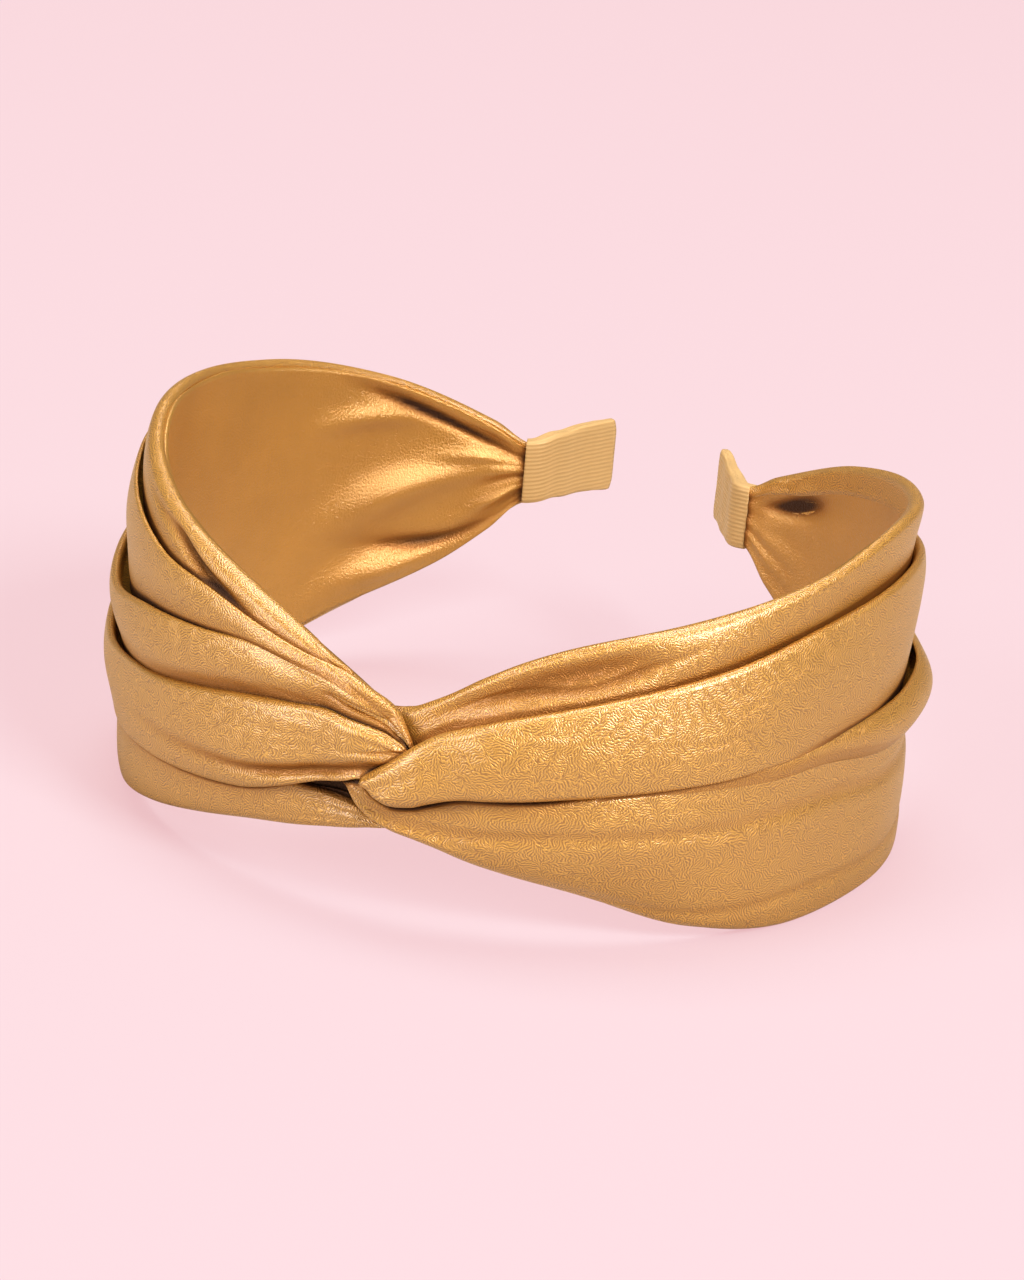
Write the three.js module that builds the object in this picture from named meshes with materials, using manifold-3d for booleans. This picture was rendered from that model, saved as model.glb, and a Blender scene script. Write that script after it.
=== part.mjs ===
// Twist knot headband: two pleated fabric halves that cross in a knot at the front,
// a smooth lining inside and a flat ribbon tip at each open end. It stands on its lower edge.
// Millimetres, +Z up, knot towards -Y, origin under the middle of the band.
import * as THREE from "three";
import Module from "manifold-3d";

// Plan of the band: three arcs from the knot round to the root of each tip
const FRONT_RADIUS = 72;
const FRONT_TURN = 33;
const SIDE_RADIUS = 57;
const SIDE_TURN = 75.5;
const REAR_RADIUS = 61;
const REAR_TURN = 55.5;
const KNOT_Y = -62.8;

// Cloth
const CLEARANCE = 0.3;
const RIM_RADIUS = 1.5;
const RIM_FLAT = 0.8;
const RIM_TUCK = 3;
const LINING_THICKNESS = 1;
const TOP_LEAN = -2;
const BOTTOM_LEAN = 0.4;
const ROOT_LEAN = -0.8;
const TABLE_LEVEL = 0;
const WRAP_STATIONS = 40;
const LINING_STATIONS = 64;

// Ribbon tips
const TIP_LENGTH = 20.5;
const TIP_WIDTH = 12.6;
const TIP_FLARE = 42;
const TIP_BEND = 3.5;
const TIP_ROOT_THICKNESS = 3.2;
const TIP_END_THICKNESS = 2.2;

// Height of the fabric's edges and how far its middle stands out, by distance from the knot
const EDGES = [
  { along: 0, top: 34.4, bottom: 15.4, swell: 3.0 },
  { along: 9, top: 39.6, bottom: 12.8, swell: 3.1 },
  { along: 17, top: 43.4, bottom: 11.2, swell: 5.4 },
  { along: 25, top: 46.8, bottom: 9.6, swell: 5.9 },
  { along: 44, top: 52.4, bottom: 4.8, swell: 5.4 },
  { along: 64, top: 56.6, bottom: -0.2, swell: 5.1 },
  { along: 91, top: 62.0, bottom: -0.8, swell: 4.9 },
  { along: 107, top: 61.8, bottom: -0.2, swell: 4.7 },
  { along: 122, top: 60.0, bottom: 3.0, swell: 4.5 },
  { along: 140, top: 57.0, bottom: 9.2, swell: 4.2 },
  { along: 160, top: 50.5, bottom: 18.0, swell: 3.6 },
  { along: 175.6, top: 43.2, bottom: 30.2, swell: 3.0 },
];

// Pleats of each half, from the top edge down: where the fold lies, as a share of the width
// from the top, at the knot, near it, at the front, side, back and root of the tip
const FOLD_STATIONS = [0, 0.08, 0.2, 0.4, 0.7, 1];
const LEFT_FOLDS = [
  { name: "rim", knot: 0.14, near: 0.1, front: 0.09, side: 0.11, back: 0.14, root: 0.18 },
  { name: "upper", knot: 0.3, near: 0.24, front: 0.25, side: 0.375, back: 0.36, root: 0.36 },
  { name: "middle", knot: 0.46, near: 0.42, front: 0.465, side: 0.545, back: 0.55, root: 0.52 },
  { name: "lower", knot: 0.62, near: 0.62, front: 0.68, side: 0.67, back: 0.7, root: 0.68 },
  { name: "flap", knot: 0.8, near: 0.8, front: 0.835, side: 0.805, back: 0.84, root: 0.84 },
];
const RIGHT_FOLDS = [
  { name: "rim", knot: 0.2, near: 0.21, front: 0.18, side: 0.125, back: 0.15, root: 0.18 },
  { name: "middle", knot: 0.38, near: 0.4, front: 0.38, side: 0.37, back: 0.42, root: 0.36 },
  { name: "groove", knot: 0.56, near: 0.57, front: 0.54, side: 0.5, back: 0.56, root: 0.52 },
  { name: "lower", knot: 0.74, near: 0.76, front: 0.7, side: 0.64, back: 0.7, root: 0.68 },
  { name: "hem", knot: 0.9, near: 0.9, front: 0.89, side: 0.89, back: 0.88, root: 0.84 },
];

// How far each pleat steps out: plus where the cloth below laps over, minus where the cloth above does
const LEFT_STEPS = [
  { name: "rim", knot: 0.4, near: 0.8, front: 1.5, side: 1.7, back: 1.4, root: 0.5 },
  { name: "upper", knot: 0.4, near: 0.8, front: 1.7, side: 2.0, back: 1.6, root: 0.5 },
  { name: "middle", knot: 0.4, near: 0.5, front: 0.9, side: 1.9, back: 1.7, root: 0.5 },
  { name: "lower", knot: 0.4, near: 0.4, front: 0.5, side: 0.6, back: 1.0, root: 0.5 },
  { name: "flap", knot: -0.4, near: -0.8, front: -1.6, side: -1.5, back: -1.2, root: -0.5 },
];
const RIGHT_STEPS = [
  { name: "rim", knot: 0.4, near: 0.9, front: 2.0, side: 2.0, back: 1.6, root: 0.5 },
  { name: "middle", knot: 0.3, near: 0.3, front: 0.4, side: 1.0, back: 1.8, root: 0.5 },
  { name: "groove", knot: -0.4, near: -0.9, front: 0.5, side: 1.5, back: 1.4, root: 0.5 },
  { name: "lower", knot: 0.3, near: 0.4, front: 0.6, side: 0.7, back: 1.0, root: 0.5 },
  { name: "hem", knot: 0.3, near: 0.3, front: 0.4, side: 0.6, back: 0.8, root: 0.5 },
];

// Folds gathered into the knot, by distance from the middle on their own side (minus past it):
// lower and upper edge, and how far the inner and outer faces stand out
const LEFT_UPPER_FOLD = [
  { along: -5.3, low: 31.3, high: 32.2, inner: 4.2, outer: 5.2 },
  { along: -4, low: 31.1, high: 33.9, inner: 3.9, outer: 5.9 },
  { along: -2, low: 31.8, high: 36.4, inner: 3.7, outer: 6.4 },
  { along: 0, low: 32.6, high: 37.9, inner: 3.6, outer: 6.7 },
  { along: 3, low: 33.4, high: 39.2, inner: 1.2, outer: 6.8 },
  { along: 9, low: 33.2, high: 40.6, inner: 1, outer: 6.7 },
  { along: 16, low: 32.4, high: 42.4, inner: 1, outer: 6.2 },
  { along: 28, low: 33, high: 45, inner: 1, outer: 4.2 },
];
const LEFT_MIDDLE_FOLD = [
  { along: -4, low: 30.9, high: 31.8, inner: 4.1, outer: 5.2 },
  { along: -2.3, low: 29.5, high: 32.6, inner: 3.7, outer: 6.3 },
  { along: -0.4, low: 27.8, high: 33.2, inner: 3.6, outer: 7.0 },
  { along: 2, low: 26, high: 33.9, inner: 2.4, outer: 7.3 },
  { along: 5, low: 24.1, high: 34.2, inner: 1, outer: 7.4 },
  { along: 10, low: 22.9, high: 34, inner: 1, outer: 7.2 },
  { along: 18, low: 19.8, high: 33, inner: 1, outer: 6.6 },
  { along: 30, low: 19, high: 32, inner: 1, outer: 4.4 },
];
const RIGHT_MAIN_FOLD = [
  { along: -4.8, low: 21.8, high: 22.8, inner: 3.8, outer: 5.2 },
  { along: -2.6, low: 21.6, high: 24.2, inner: 3.6, outer: 6.6 },
  { along: 0.4, low: 20.4, high: 27.2, inner: 3.5, outer: 7.6 },
  { along: 2.3, low: 20.2, high: 28.9, inner: 1.4, outer: 7.9 },
  { along: 5.4, low: 20.8, high: 30.7, inner: 1, outer: 8.0 },
  { along: 7.4, low: 21.6, high: 32.6, inner: 1, outer: 7.8 },
  { along: 13.5, low: 23.4, high: 35.6, inner: 1, outer: 7.3 },
  { along: 20, low: 24, high: 37.4, inner: 1, outer: 6.6 },
  { along: 32, low: 26, high: 40, inner: 1, outer: 4.2 },
];
const RIGHT_LOOP_FOLD = [
  { along: -7.4, low: 21.6, high: 22.5, inner: 3.8, outer: 4.8 },
  { along: -5.8, low: 20.8, high: 22.8, inner: 3.6, outer: 5.8 },
  { along: -4.4, low: 19.4, high: 22.6, inner: 3.6, outer: 6.2 },
  { along: -2.2, low: 18, high: 22, inner: 3.6, outer: 6.5 },
  { along: 0.4, low: 16.8, high: 21.4, inner: 3.5, outer: 6.5 },
  { along: 3, low: 16.4, high: 21.2, inner: 1.2, outer: 6.4 },
  { along: 8, low: 15.4, high: 22.4, inner: 1, outer: 6.2 },
  { along: 18, low: 12.6, high: 24, inner: 1, outer: 5.4 },
  { along: 30, low: 11, high: 26, inner: 1, outer: 4.0 },
];

const GOLD = new THREE.Color(0.56, 0.29, 0.09);
const SATIN = new THREE.Color(0.47, 0.22, 0.06);
const RIBBON = new THREE.Color(0.72, 0.47, 0.24);

const wasm = await Module();
wasm.setup();

const radians = THREE.MathUtils.degToRad;
const smooth = THREE.MathUtils.smoothstep;
const mix = THREE.MathUtils.lerp;

const ARCS = [
  { radius: FRONT_RADIUS, turn: radians(FRONT_TURN) },
  { radius: SIDE_RADIUS, turn: radians(SIDE_TURN) },
  { radius: REAR_RADIUS, turn: radians(REAR_TURN) },
];
const HALF_LENGTH = ARCS.reduce((sum, arc) => sum + arc.radius * arc.turn, 0);

// Smooth reading of one named column of a table
function column(rows, key, name) {
  const places = rows.map((row) => row[key]);
  const values = rows.map((row) => row[name]);
  const curve = new THREE.CubicInterpolant(places, values, 1, new Float64Array(1));
  const first = places[0];
  const last = places[places.length - 1];
  return (at) => curve.evaluate(THREE.MathUtils.clamp(at, first, last))[0];
}

function foldColumn(row) {
  const rows = FOLD_STATIONS.map((share, i) => ({ share, value: Object.values(row)[i + 1] }));
  return column(rows, "share", "value");
}

const topEdge = column(EDGES, "along", "top");
const rawBottomEdge = column(EDGES, "along", "bottom");
const swellAt = column(EDGES, "along", "swell");
const bottomEdge = (along) => Math.max(TABLE_LEVEL, rawBottomEdge(along));

// Point and heading of the plan on the right half, by distance from the knot
function plan(along) {
  let x = 0;
  let y = KNOT_Y;
  let heading = 0;
  let left = along;
  for (const { radius, turn } of ARCS) {
    const step = Math.min(left / radius, turn);
    x += radius * (Math.sin(heading + step) - Math.sin(heading));
    y += radius * (Math.cos(heading) - Math.cos(heading + step));
    heading += step;
    left -= step * radius;
  }
  return { x: x + left * Math.cos(heading), y: y + left * Math.sin(heading), heading };
}

// The band leans in towards its top edge
function lean(along, height) {
  const reach = Math.abs(along);
  const share = (topEdge(reach) - height) / (topEdge(reach) - bottomEdge(reach));
  const upright = smooth(reach, 140, HALF_LENGTH);
  const edge = mix(TOP_LEAN, BOTTOM_LEAN, THREE.MathUtils.clamp(share, 0, 1));
  return mix(edge, ROOT_LEAN, upright);
}

// Place a point of a section: side is 1 on the right half and -1 on the left
function place(side, along, out, height) {
  const { x, y, heading } = plan(Math.abs(along));
  const sign = along < 0 ? -side : side;
  const offset = out + lean(along, height);
  return new THREE.Vector3(sign * (x + Math.sin(heading) * offset), y - Math.cos(heading) * offset, height);
}

// Closed solid through a row of closed sections, each an array of points
function loft(sections) {
  const count = sections[0].length;
  const points = sections.flat();
  const index = [];
  for (let i = 0; i + 1 < sections.length; i++) {
    for (let j = 0; j < count; j++) {
      const a = i * count + j;
      const b = i * count + ((j + 1) % count);
      index.push(a, b, b + count, a, b + count, a + count);
    }
  }
  const cap = (section, first, flip) => {
    const plane = new THREE.Plane().setFromCoplanarPoints(section[0], section[Math.floor(count / 3)],
      section[Math.floor((2 * count) / 3)]);
    const across = plane.normal.clone().cross(new THREE.Vector3(0, 0, 1)).normalize();
    const flat = section.map((p) => new THREE.Vector2(p.dot(across), p.z));
    for (const [a, b, c] of THREE.ShapeUtils.triangulateShape(flat, [])) {
      const turned = THREE.ShapeUtils.area([flat[a], flat[b], flat[c]]) > 0 === THREE.ShapeUtils.area(flat) > 0;
      const order = turned !== flip ? [a, b, c] : [a, c, b];
      index.push(...order.map((k) => first + k));
    }
  };
  cap(sections[0], 0, true);
  cap(sections[sections.length - 1], points.length - count, false);
  return facing({ points, index });
}

// Turn every face outward
function facing({ points, index }) {
  let volume = 0;
  for (let i = 0; i < index.length; i += 3) {
    const [a, b, c] = [0, 1, 2].map((k) => points[index[i + k]]);
    volume += a.dot(b.clone().cross(c));
  }
  if (volume < 0) index.reverse();
  return { points, index };
}

function solid({ points, index }) {
  const vertProperties = new Float32Array(points.flatMap((p) => p.toArray()));
  return new wasm.Manifold(new wasm.Mesh({ numProp: 3, vertProperties, triVerts: new Uint32Array(index) }));
}

function geometryOf(shape) {
  const { vertProperties, triVerts } = shape.getMesh();
  const geometry = new THREE.BufferGeometry();
  geometry.setAttribute("position", new THREE.BufferAttribute(new Float32Array(vertProperties), 3));
  geometry.setIndex([...triVerts]);
  geometry.computeVertexNormals();
  return geometry;
}

// Outline of the pleated cloth at one place, as [out, height] pairs from the inner top round the outside
function pleatedSection(along, folds) {
  const share = along / HALF_LENGTH;
  const top = topEdge(along);
  const bottom = bottomEdge(along);
  const span = top - bottom - 2 * RIM_RADIUS;
  const swell = swellAt(along) - RIM_RADIUS;
  const base = (v) => RIM_RADIUS * 0.9 + swell * Math.pow(Math.max(0, 1 - (2 * v - 1) ** 2), 0.7);
  const heightAt = (v) => top - RIM_RADIUS - v * span;
  const creases = folds.map(({ at, step }) => ({ v: at(share), step: step(share) }));
  const outline = [
    [-RIM_RADIUS, top - RIM_TUCK],
    [-RIM_RADIUS, top - RIM_RADIUS],
    [-RIM_RADIUS * 0.55, top - 0.35],
    [RIM_RADIUS * 0.3, top],
    [RIM_RADIUS, top - RIM_RADIUS * 0.7],
  ];
  // each panel runs from the foot of the crease above it to the lip of the crease below it
  let panelTop = { v: 0, lift: 0 };
  creases.forEach(({ v, step }, i) => {
    const room = span * Math.min(v - panelTop.v, (creases[i + 1]?.v ?? 1) - v);
    const rise = Math.abs(step);
    const lap = Math.min(0.35 * room, 1.6 * Math.max(0, rise - 0.45));
    const middle = (panelTop.v + v) / 2;
    const lifted = step < 0 ? rise : 0;
    outline.push([base(middle) + (panelTop.lift + lifted) / 2 + 0.15, heightAt(middle)]);
    const floor = base(v);
    const level = heightAt(v);
    const below = [
      [0, 0.3],
      [-0.02, -lap],
      [0.3 * rise, 0.1 - 0.7 * lap],
      [0.62 * rise, 0.22 + 0.2 * rise],
      [rise, -0.35 * rise],
    ];
    const tuck = step > 0 ? below : below.map(([out, up]) => [out, -up]).reverse();
    tuck.forEach(([out, up]) => outline.push([floor + out, level + up]));
    panelTop = { v, lift: step > 0 ? rise : 0 };
  });
  const middle = (panelTop.v + 1) / 2;
  outline.push([base(middle) + panelTop.lift / 2 + 0.1, heightAt(middle)]);
  outline.push(
    [RIM_RADIUS, bottom + RIM_RADIUS * 0.7],
    [RIM_FLAT, bottom],
    [-RIM_FLAT, bottom],
    [-RIM_RADIUS, bottom + RIM_RADIUS * 0.8],
    [-RIM_RADIUS, bottom + RIM_TUCK],
    [0, bottom + RIM_TUCK + 0.2],
    [0, top - RIM_TUCK - 0.2],
  );
  return outline;
}

// The long pleated part of one half, from beside the knot to the root of the tip
function pleatedBand(side, places, steps) {
  const folds = places.map((row, i) => ({ at: foldColumn(row), step: foldColumn(steps[i]) }));
  const sections = [];
  for (let i = 0; i <= WRAP_STATIONS; i++) {
    const along = mix(CLEARANCE / 2, HALF_LENGTH, Math.pow(i / WRAP_STATIONS, 1.15));
    sections.push(pleatedSection(along, folds).map(([out, height]) => place(side, along, out, height)));
  }
  return solid(loft(sections));
}

// One soft fold of the knot, rounded all round
function knotFold(side, rows) {
  const low = column(rows, "along", "low");
  const high = column(rows, "along", "high");
  const inner = column(rows, "along", "inner");
  const outer = column(rows, "along", "outer");
  const stations = rows.flatMap((row, i) => (i ? [(rows[i - 1].along + row.along) / 2, row.along] : [row.along]));
  const around = 12;
  const sections = stations.map((along) => {
    const ring = [];
    for (let i = 0; i < around; i++) {
      const angle = (2 * Math.PI * i) / around;
      const up = Math.sign(Math.sin(angle)) * Math.pow(Math.abs(Math.sin(angle)), 0.8);
      const out = Math.sign(Math.cos(angle)) * Math.pow(Math.abs(Math.cos(angle)), 0.8);
      const height = mix(low(along), high(along), 0.5 + 0.5 * up);
      ring.push(place(side, along, mix(inner(along), outer(along), 0.5 + 0.5 * out), height));
    }
    return ring;
  });
  return solid(loft(sections));
}

function wrap(side, places, steps, knotFolds) {
  const band = pleatedBand(side, places, steps);
  return geometryOf(knotFolds.reduce((shape, rows) => shape.add(knotFold(side, rows)), band));
}

// Smooth inner band, gathered a little towards the tips
function lining() {
  const sections = [];
  const lanes = 7;
  const tuck = RIM_TUCK + 0.2 + CLEARANCE;
  for (let i = 0; i <= LINING_STATIONS; i++) {
    const along = mix(-HALF_LENGTH, HALF_LENGTH, i / LINING_STATIONS);
    const reach = Math.abs(along);
    const high = topEdge(reach) - tuck;
    const low = bottomEdge(reach) + tuck;
    const gather = 0.5 * smooth(reach, 100, HALF_LENGTH);
    const ring = [];
    for (let lane = 0; lane < lanes; lane++) {
      ring.push(place(1, along, -CLEARANCE, mix(high, low, lane / (lanes - 1))));
    }
    for (let lane = lanes - 1; lane >= 0; lane--) {
      const ridge = lane % 2 ? gather : 0;
      ring.push(place(1, along, -CLEARANCE - LINING_THICKNESS - ridge, mix(high, low, lane / (lanes - 1))));
    }
    sections.push(ring);
  }
  return geometryOf(solid(loft(sections)));
}

// Flat ribbon end that bends away from the head
function tip(side) {
  const root = plan(HALF_LENGTH);
  const middle = (topEdge(HALF_LENGTH) + bottomEdge(HALF_LENGTH)) / 2;
  const steps = 14;
  const stride = (TIP_LENGTH - CLEARANCE) / steps;
  let { x, y } = root;
  x += CLEARANCE * Math.cos(root.heading);
  y += CLEARANCE * Math.sin(root.heading);
  const sections = [];
  for (let i = 0; i <= steps; i++) {
    const reach = i * stride;
    const heading = root.heading - radians(TIP_FLARE) * smooth(reach, 0, TIP_BEND);
    const thick = mix(TIP_ROOT_THICKNESS, TIP_END_THICKNESS, smooth(reach, 0, TIP_LENGTH)) / 2;
    const half = TIP_WIDTH / 2;
    const soft = thick * 0.6;
    const outline = [[-thick, half - soft], [-thick + soft, half], [thick - soft, half], [thick, half - soft],
      [thick, soft - half], [thick - soft, -half], [soft - thick, -half], [-thick, soft - half]];
    sections.push(outline.map(([out, up]) => new THREE.Vector3(
      side * (x + Math.sin(heading) * (out + ROOT_LEAN + 0.6)),
      y - Math.cos(heading) * (out + ROOT_LEAN + 0.6), middle + up)));
    x += stride * Math.cos(heading);
    y += stride * Math.sin(heading);
  }
  return geometryOf(solid(loft(sections)));
}

function cloth(color, roughness, metalness) {
  return new THREE.MeshStandardMaterial({ color, roughness, metalness });
}

function piece(name, geometry, material) {
  const mesh = new THREE.Mesh(geometry, material);
  mesh.name = name;
  return mesh;
}

const gold = cloth(GOLD, 0.4, 0.35);
const satin = cloth(SATIN, 0.3, 0.3);
const ribbon = cloth(RIBBON, 0.6, 0.1);

const headband = new THREE.Group();
headband.name = "twist_knot_headband";
headband.add(
  piece("left_wrap", wrap(-1, LEFT_FOLDS, LEFT_STEPS, [LEFT_UPPER_FOLD, LEFT_MIDDLE_FOLD]), gold),
  piece("right_wrap", wrap(1, RIGHT_FOLDS, RIGHT_STEPS, [RIGHT_MAIN_FOLD, RIGHT_LOOP_FOLD]), gold),
  piece("lining", lining(), satin),
  piece("left_tip", tip(-1), ribbon),
  piece("right_tip", tip(1), ribbon),
);

export default headband;
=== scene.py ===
"""Twist knot headband: pleated gold satin that crosses in a knot, a smooth lining and ribbon tips.

Laid out as an add-on: sizes and colours are properties, and each piece has its own operator.
Lengths in the tables are millimetres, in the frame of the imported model, knot towards -Y.
"""

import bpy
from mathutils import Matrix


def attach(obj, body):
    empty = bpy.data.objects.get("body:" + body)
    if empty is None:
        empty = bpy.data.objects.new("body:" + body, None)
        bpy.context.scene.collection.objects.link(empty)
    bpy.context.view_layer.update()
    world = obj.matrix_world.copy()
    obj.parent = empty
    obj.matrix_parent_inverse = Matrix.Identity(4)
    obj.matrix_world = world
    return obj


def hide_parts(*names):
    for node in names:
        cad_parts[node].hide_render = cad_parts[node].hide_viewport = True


bl_info = {
    "name": "Twist Knot Headband",
    "version": (1, 0, 0),
    "blender": (4, 5, 0),
    "location": "View3D > Sidebar > Headband",
    "description": "Builds a pleated satin headband with a twist knot",
    "category": "Add Mesh",
}

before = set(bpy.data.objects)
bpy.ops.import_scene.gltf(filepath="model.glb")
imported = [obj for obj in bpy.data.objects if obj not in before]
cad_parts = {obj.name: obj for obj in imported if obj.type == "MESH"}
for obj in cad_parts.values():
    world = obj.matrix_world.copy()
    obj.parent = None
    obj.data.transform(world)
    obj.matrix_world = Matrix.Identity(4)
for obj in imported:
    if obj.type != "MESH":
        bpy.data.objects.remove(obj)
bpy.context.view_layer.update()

import math
from types import SimpleNamespace

import bpy
import numpy as np
from mathutils import Matrix, Vector, noise

MM = 0.001

# Plan of the band: three arcs from the knot to the root of each tip (radius, turn in degrees)
PLAN_ARCS = ((72.0, 33.0), (57.0, 75.5), (61.0, 55.5))
KNOT_Y = -62.8
HALF_LENGTH = sum(radius * math.radians(turn) for radius, turn in PLAN_ARCS)

# Cloth edges by distance from the knot: top and bottom height, and how far the middle stands out
EDGE_COLUMNS = ("along", "top", "bottom", "swell")
EDGES = (
    (0.0, 34.4, 15.4, 3.0),
    (9.0, 39.6, 12.8, 3.1),
    (17.0, 43.4, 11.2, 5.0),
    (25.0, 46.8, 9.6, 5.6),
    (44.0, 52.4, 4.8, 5.4),
    (64.0, 56.6, 0.0, 5.1),
    (91.0, 62.0, 0.0, 4.9),
    (107.0, 61.8, 0.0, 4.7),
    (122.0, 60.0, 3.0, 4.5),
    (140.0, 57.0, 9.2, 4.2),
    (160.0, 50.5, 18.0, 3.6),
    (175.6, 43.2, 30.2, 3.0),
)

# Left half: height of the gathered bundle's top edge and of the lip over the bottom flap, the flap's own top
# and bottom edge, how far the knot lifts the bundle, and where its folds and creases lie from top edge to
# lip, 0 to 1; the dimple's place is from the top edge to the rim fold
LEFT_COLUMNS = (
    "along", "top", "lip", "flap", "bottom", "lift",
    "rim", "upper", "crease", "middle", "sub", "valley", "dimple",
)
LEFT_LINES = (
    (-5.5, 29.4, 27.4, 16.6, 16.9, 2.6, 0.00, 0.06, 0.36, 0.52, 0.74, 0.92, 1.0),
    (-3.5, 33.0, 26.6, 16.6, 16.7, 2.9, 0.00, 0.06, 0.22, 0.30, 0.45, 0.875, 1.0),
    (-1.7, 35.2, 25.6, 16.6, 16.2, 3.2, 0.00, 0.06, 0.245, 0.333, 0.55, 0.84, 1.0),
    (0.0, 36.6, 24.9, 16.8, 15.2, 3.4, 0.00, 0.06, 0.24, 0.346, 0.60, 0.835, 1.0),
    (3.3, 38.2, 24.3, 17.4, 14.4, 3.5, 0.00, 0.065, 0.24, 0.36, 0.66, 0.86, 1.0),
    (5.2, 39.1, 23.5, 18.4, 13.9, 3.4, 0.00, 0.08, 0.247, 0.365, 0.67, 0.865, 1.0),
    (10.0, 41.1, 21.9, 19.1, 12.9, 2.4, 0.035, 0.12, 0.26, 0.378, 0.67, 0.89, 1.0),
    (15.0, 42.9, 19.8, 19.6, 11.7, 1.3, 0.07, 0.145, 0.28, 0.41, 0.67, 0.885, 1.0),
    (25.0, 46.8, 16.0, 20.0, 9.6, 0.3, 0.10, 0.20, 0.33, 0.48, 0.67, 0.865, 0.97),
    (35.0, 49.9, 14.2, 18.2, 7.0, 0.0, 0.112, 0.286, 0.42, 0.56, 0.70, 0.855, 0.85),
    (50.0, 53.6, 12.8, 16.8, 3.3, 0.0, 0.15, 0.38, 0.50, 0.645, 0.74, 0.84, 0.35),
    (70.0, 57.8, 11.6, 15.6, 0.0, 0.0, 0.14, 0.48, 0.58, 0.69, 0.77, 0.85, 0.35),
    (97.0, 62.1, 11.8, 15.8, 0.0, 0.0, 0.136, 0.475, 0.58, 0.685, 0.76, 0.84, 0.35),
    (123.0, 59.9, 13.4, 17.0, 3.2, 0.0, 0.146, 0.44, 0.55, 0.67, 0.75, 0.84, 0.35),
    (149.0, 54.3, 20.4, 23.4, 12.9, 0.0, 0.195, 0.45, 0.55, 0.65, 0.74, 0.83, 0.35),
    (175.6, 43.2, 32.5, 34.0, 30.2, 0.0, 0.22, 0.45, 0.54, 0.63, 0.72, 0.81, 0.35),
)
LEFT_FOLDS = ("rim", "upper", "middle")

# Right half: height of the flap's top edge, of the main fold's upper and lower edge and of the lower
# cloth's bottom edge, how far the knot lifts the main fold and the cloth under it; then, 0 to 1, where the
# roll starts on the main fold, where two grooves lie on the lower cloth, and the flap's crease
RIGHT_COLUMNS = (
    "along", "top", "main", "groove", "bottom", "lift", "loop",
    "pocket", "tuck", "hem", "crease",
)
RIGHT_LINES = (
    (-7.4, 36.2, 24.3, 24.0, 23.4, 2.6, 2.2, 1.0, 0.60, 0.90, 0.55),
    (-5.6, 36.0, 24.4, 23.9, 22.7, 2.9, 2.6, 1.0, 0.60, 0.90, 0.55),
    (-4.5, 35.6, 24.7, 24.2, 21.2, 3.3, 2.9, 1.0, 0.60, 0.90, 0.55),
    (-3.2, 35.2, 24.8, 24.4, 19.7, 3.5, 3.1, 1.0, 0.60, 0.90, 0.55),
    (-2.6, 35.0, 24.9, 24.6, 19.1, 3.6, 3.1, 1.0, 0.60, 0.90, 0.55),
    (-2.2, 35.0, 25.4, 24.2, 18.8, 3.8, 3.1, 1.0, 0.60, 0.90, 0.55),
    (-1.3, 34.9, 26.2, 23.4, 18.1, 4.1, 3.1, 1.0, 0.60, 0.90, 0.55),
    (0.0, 35.0, 27.3, 22.5, 17.3, 4.3, 3.0, 1.0, 0.60, 0.90, 0.55),
    (2.5, 35.6, 29.5, 21.6, 16.3, 4.4, 2.8, 1.0, 0.62, 0.90, 0.55),
    (5.5, 37.1, 32.2, 22.0, 15.6, 4.2, 2.5, 1.0, 0.64, 0.90, 0.55),
    (8.0, 38.5, 33.9, 22.9, 14.9, 3.6, 2.2, 1.0, 0.64, 0.90, 0.55),
    (13.5, 42.0, 36.2, 24.6, 13.0, 2.3, 1.4, 1.0, 0.58, 0.90, 0.55),
    (20.0, 45.5, 38.4, 25.2, 11.1, 1.0, 0.6, 1.0, 0.48, 0.92, 0.63),
    (30.0, 49.2, 41.0, 26.3, 8.5, 0.2, 0.1, 1.0, 0.38, 0.94, 0.79),
    (50.0, 53.8, 46.0, 28.6, 2.4, 0.0, 0.0, 0.99, 0.31, 0.88, 0.45),
    (70.0, 57.8, 50.4, 29.2, 0.0, 0.0, -0.2, 0.90, 0.275, 0.79, 0.45),
    (97.0, 62.1, 53.3, 25.8, 0.0, 0.0, -0.6, 0.74, 0.27, 0.80, 0.45),
    (123.0, 59.9, 51.4, 26.0, 3.2, 0.0, -0.5, 0.70, 0.29, 0.76, 0.45),
    (149.0, 54.3, 47.3, 31.1, 12.9, 0.0, 0.0, 0.65, 0.30, 0.70, 0.45),
    (175.6, 43.2, 40.6, 36.2, 30.2, 0.0, 0.0, 0.55, 0.35, 0.68, 0.45),
)

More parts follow.
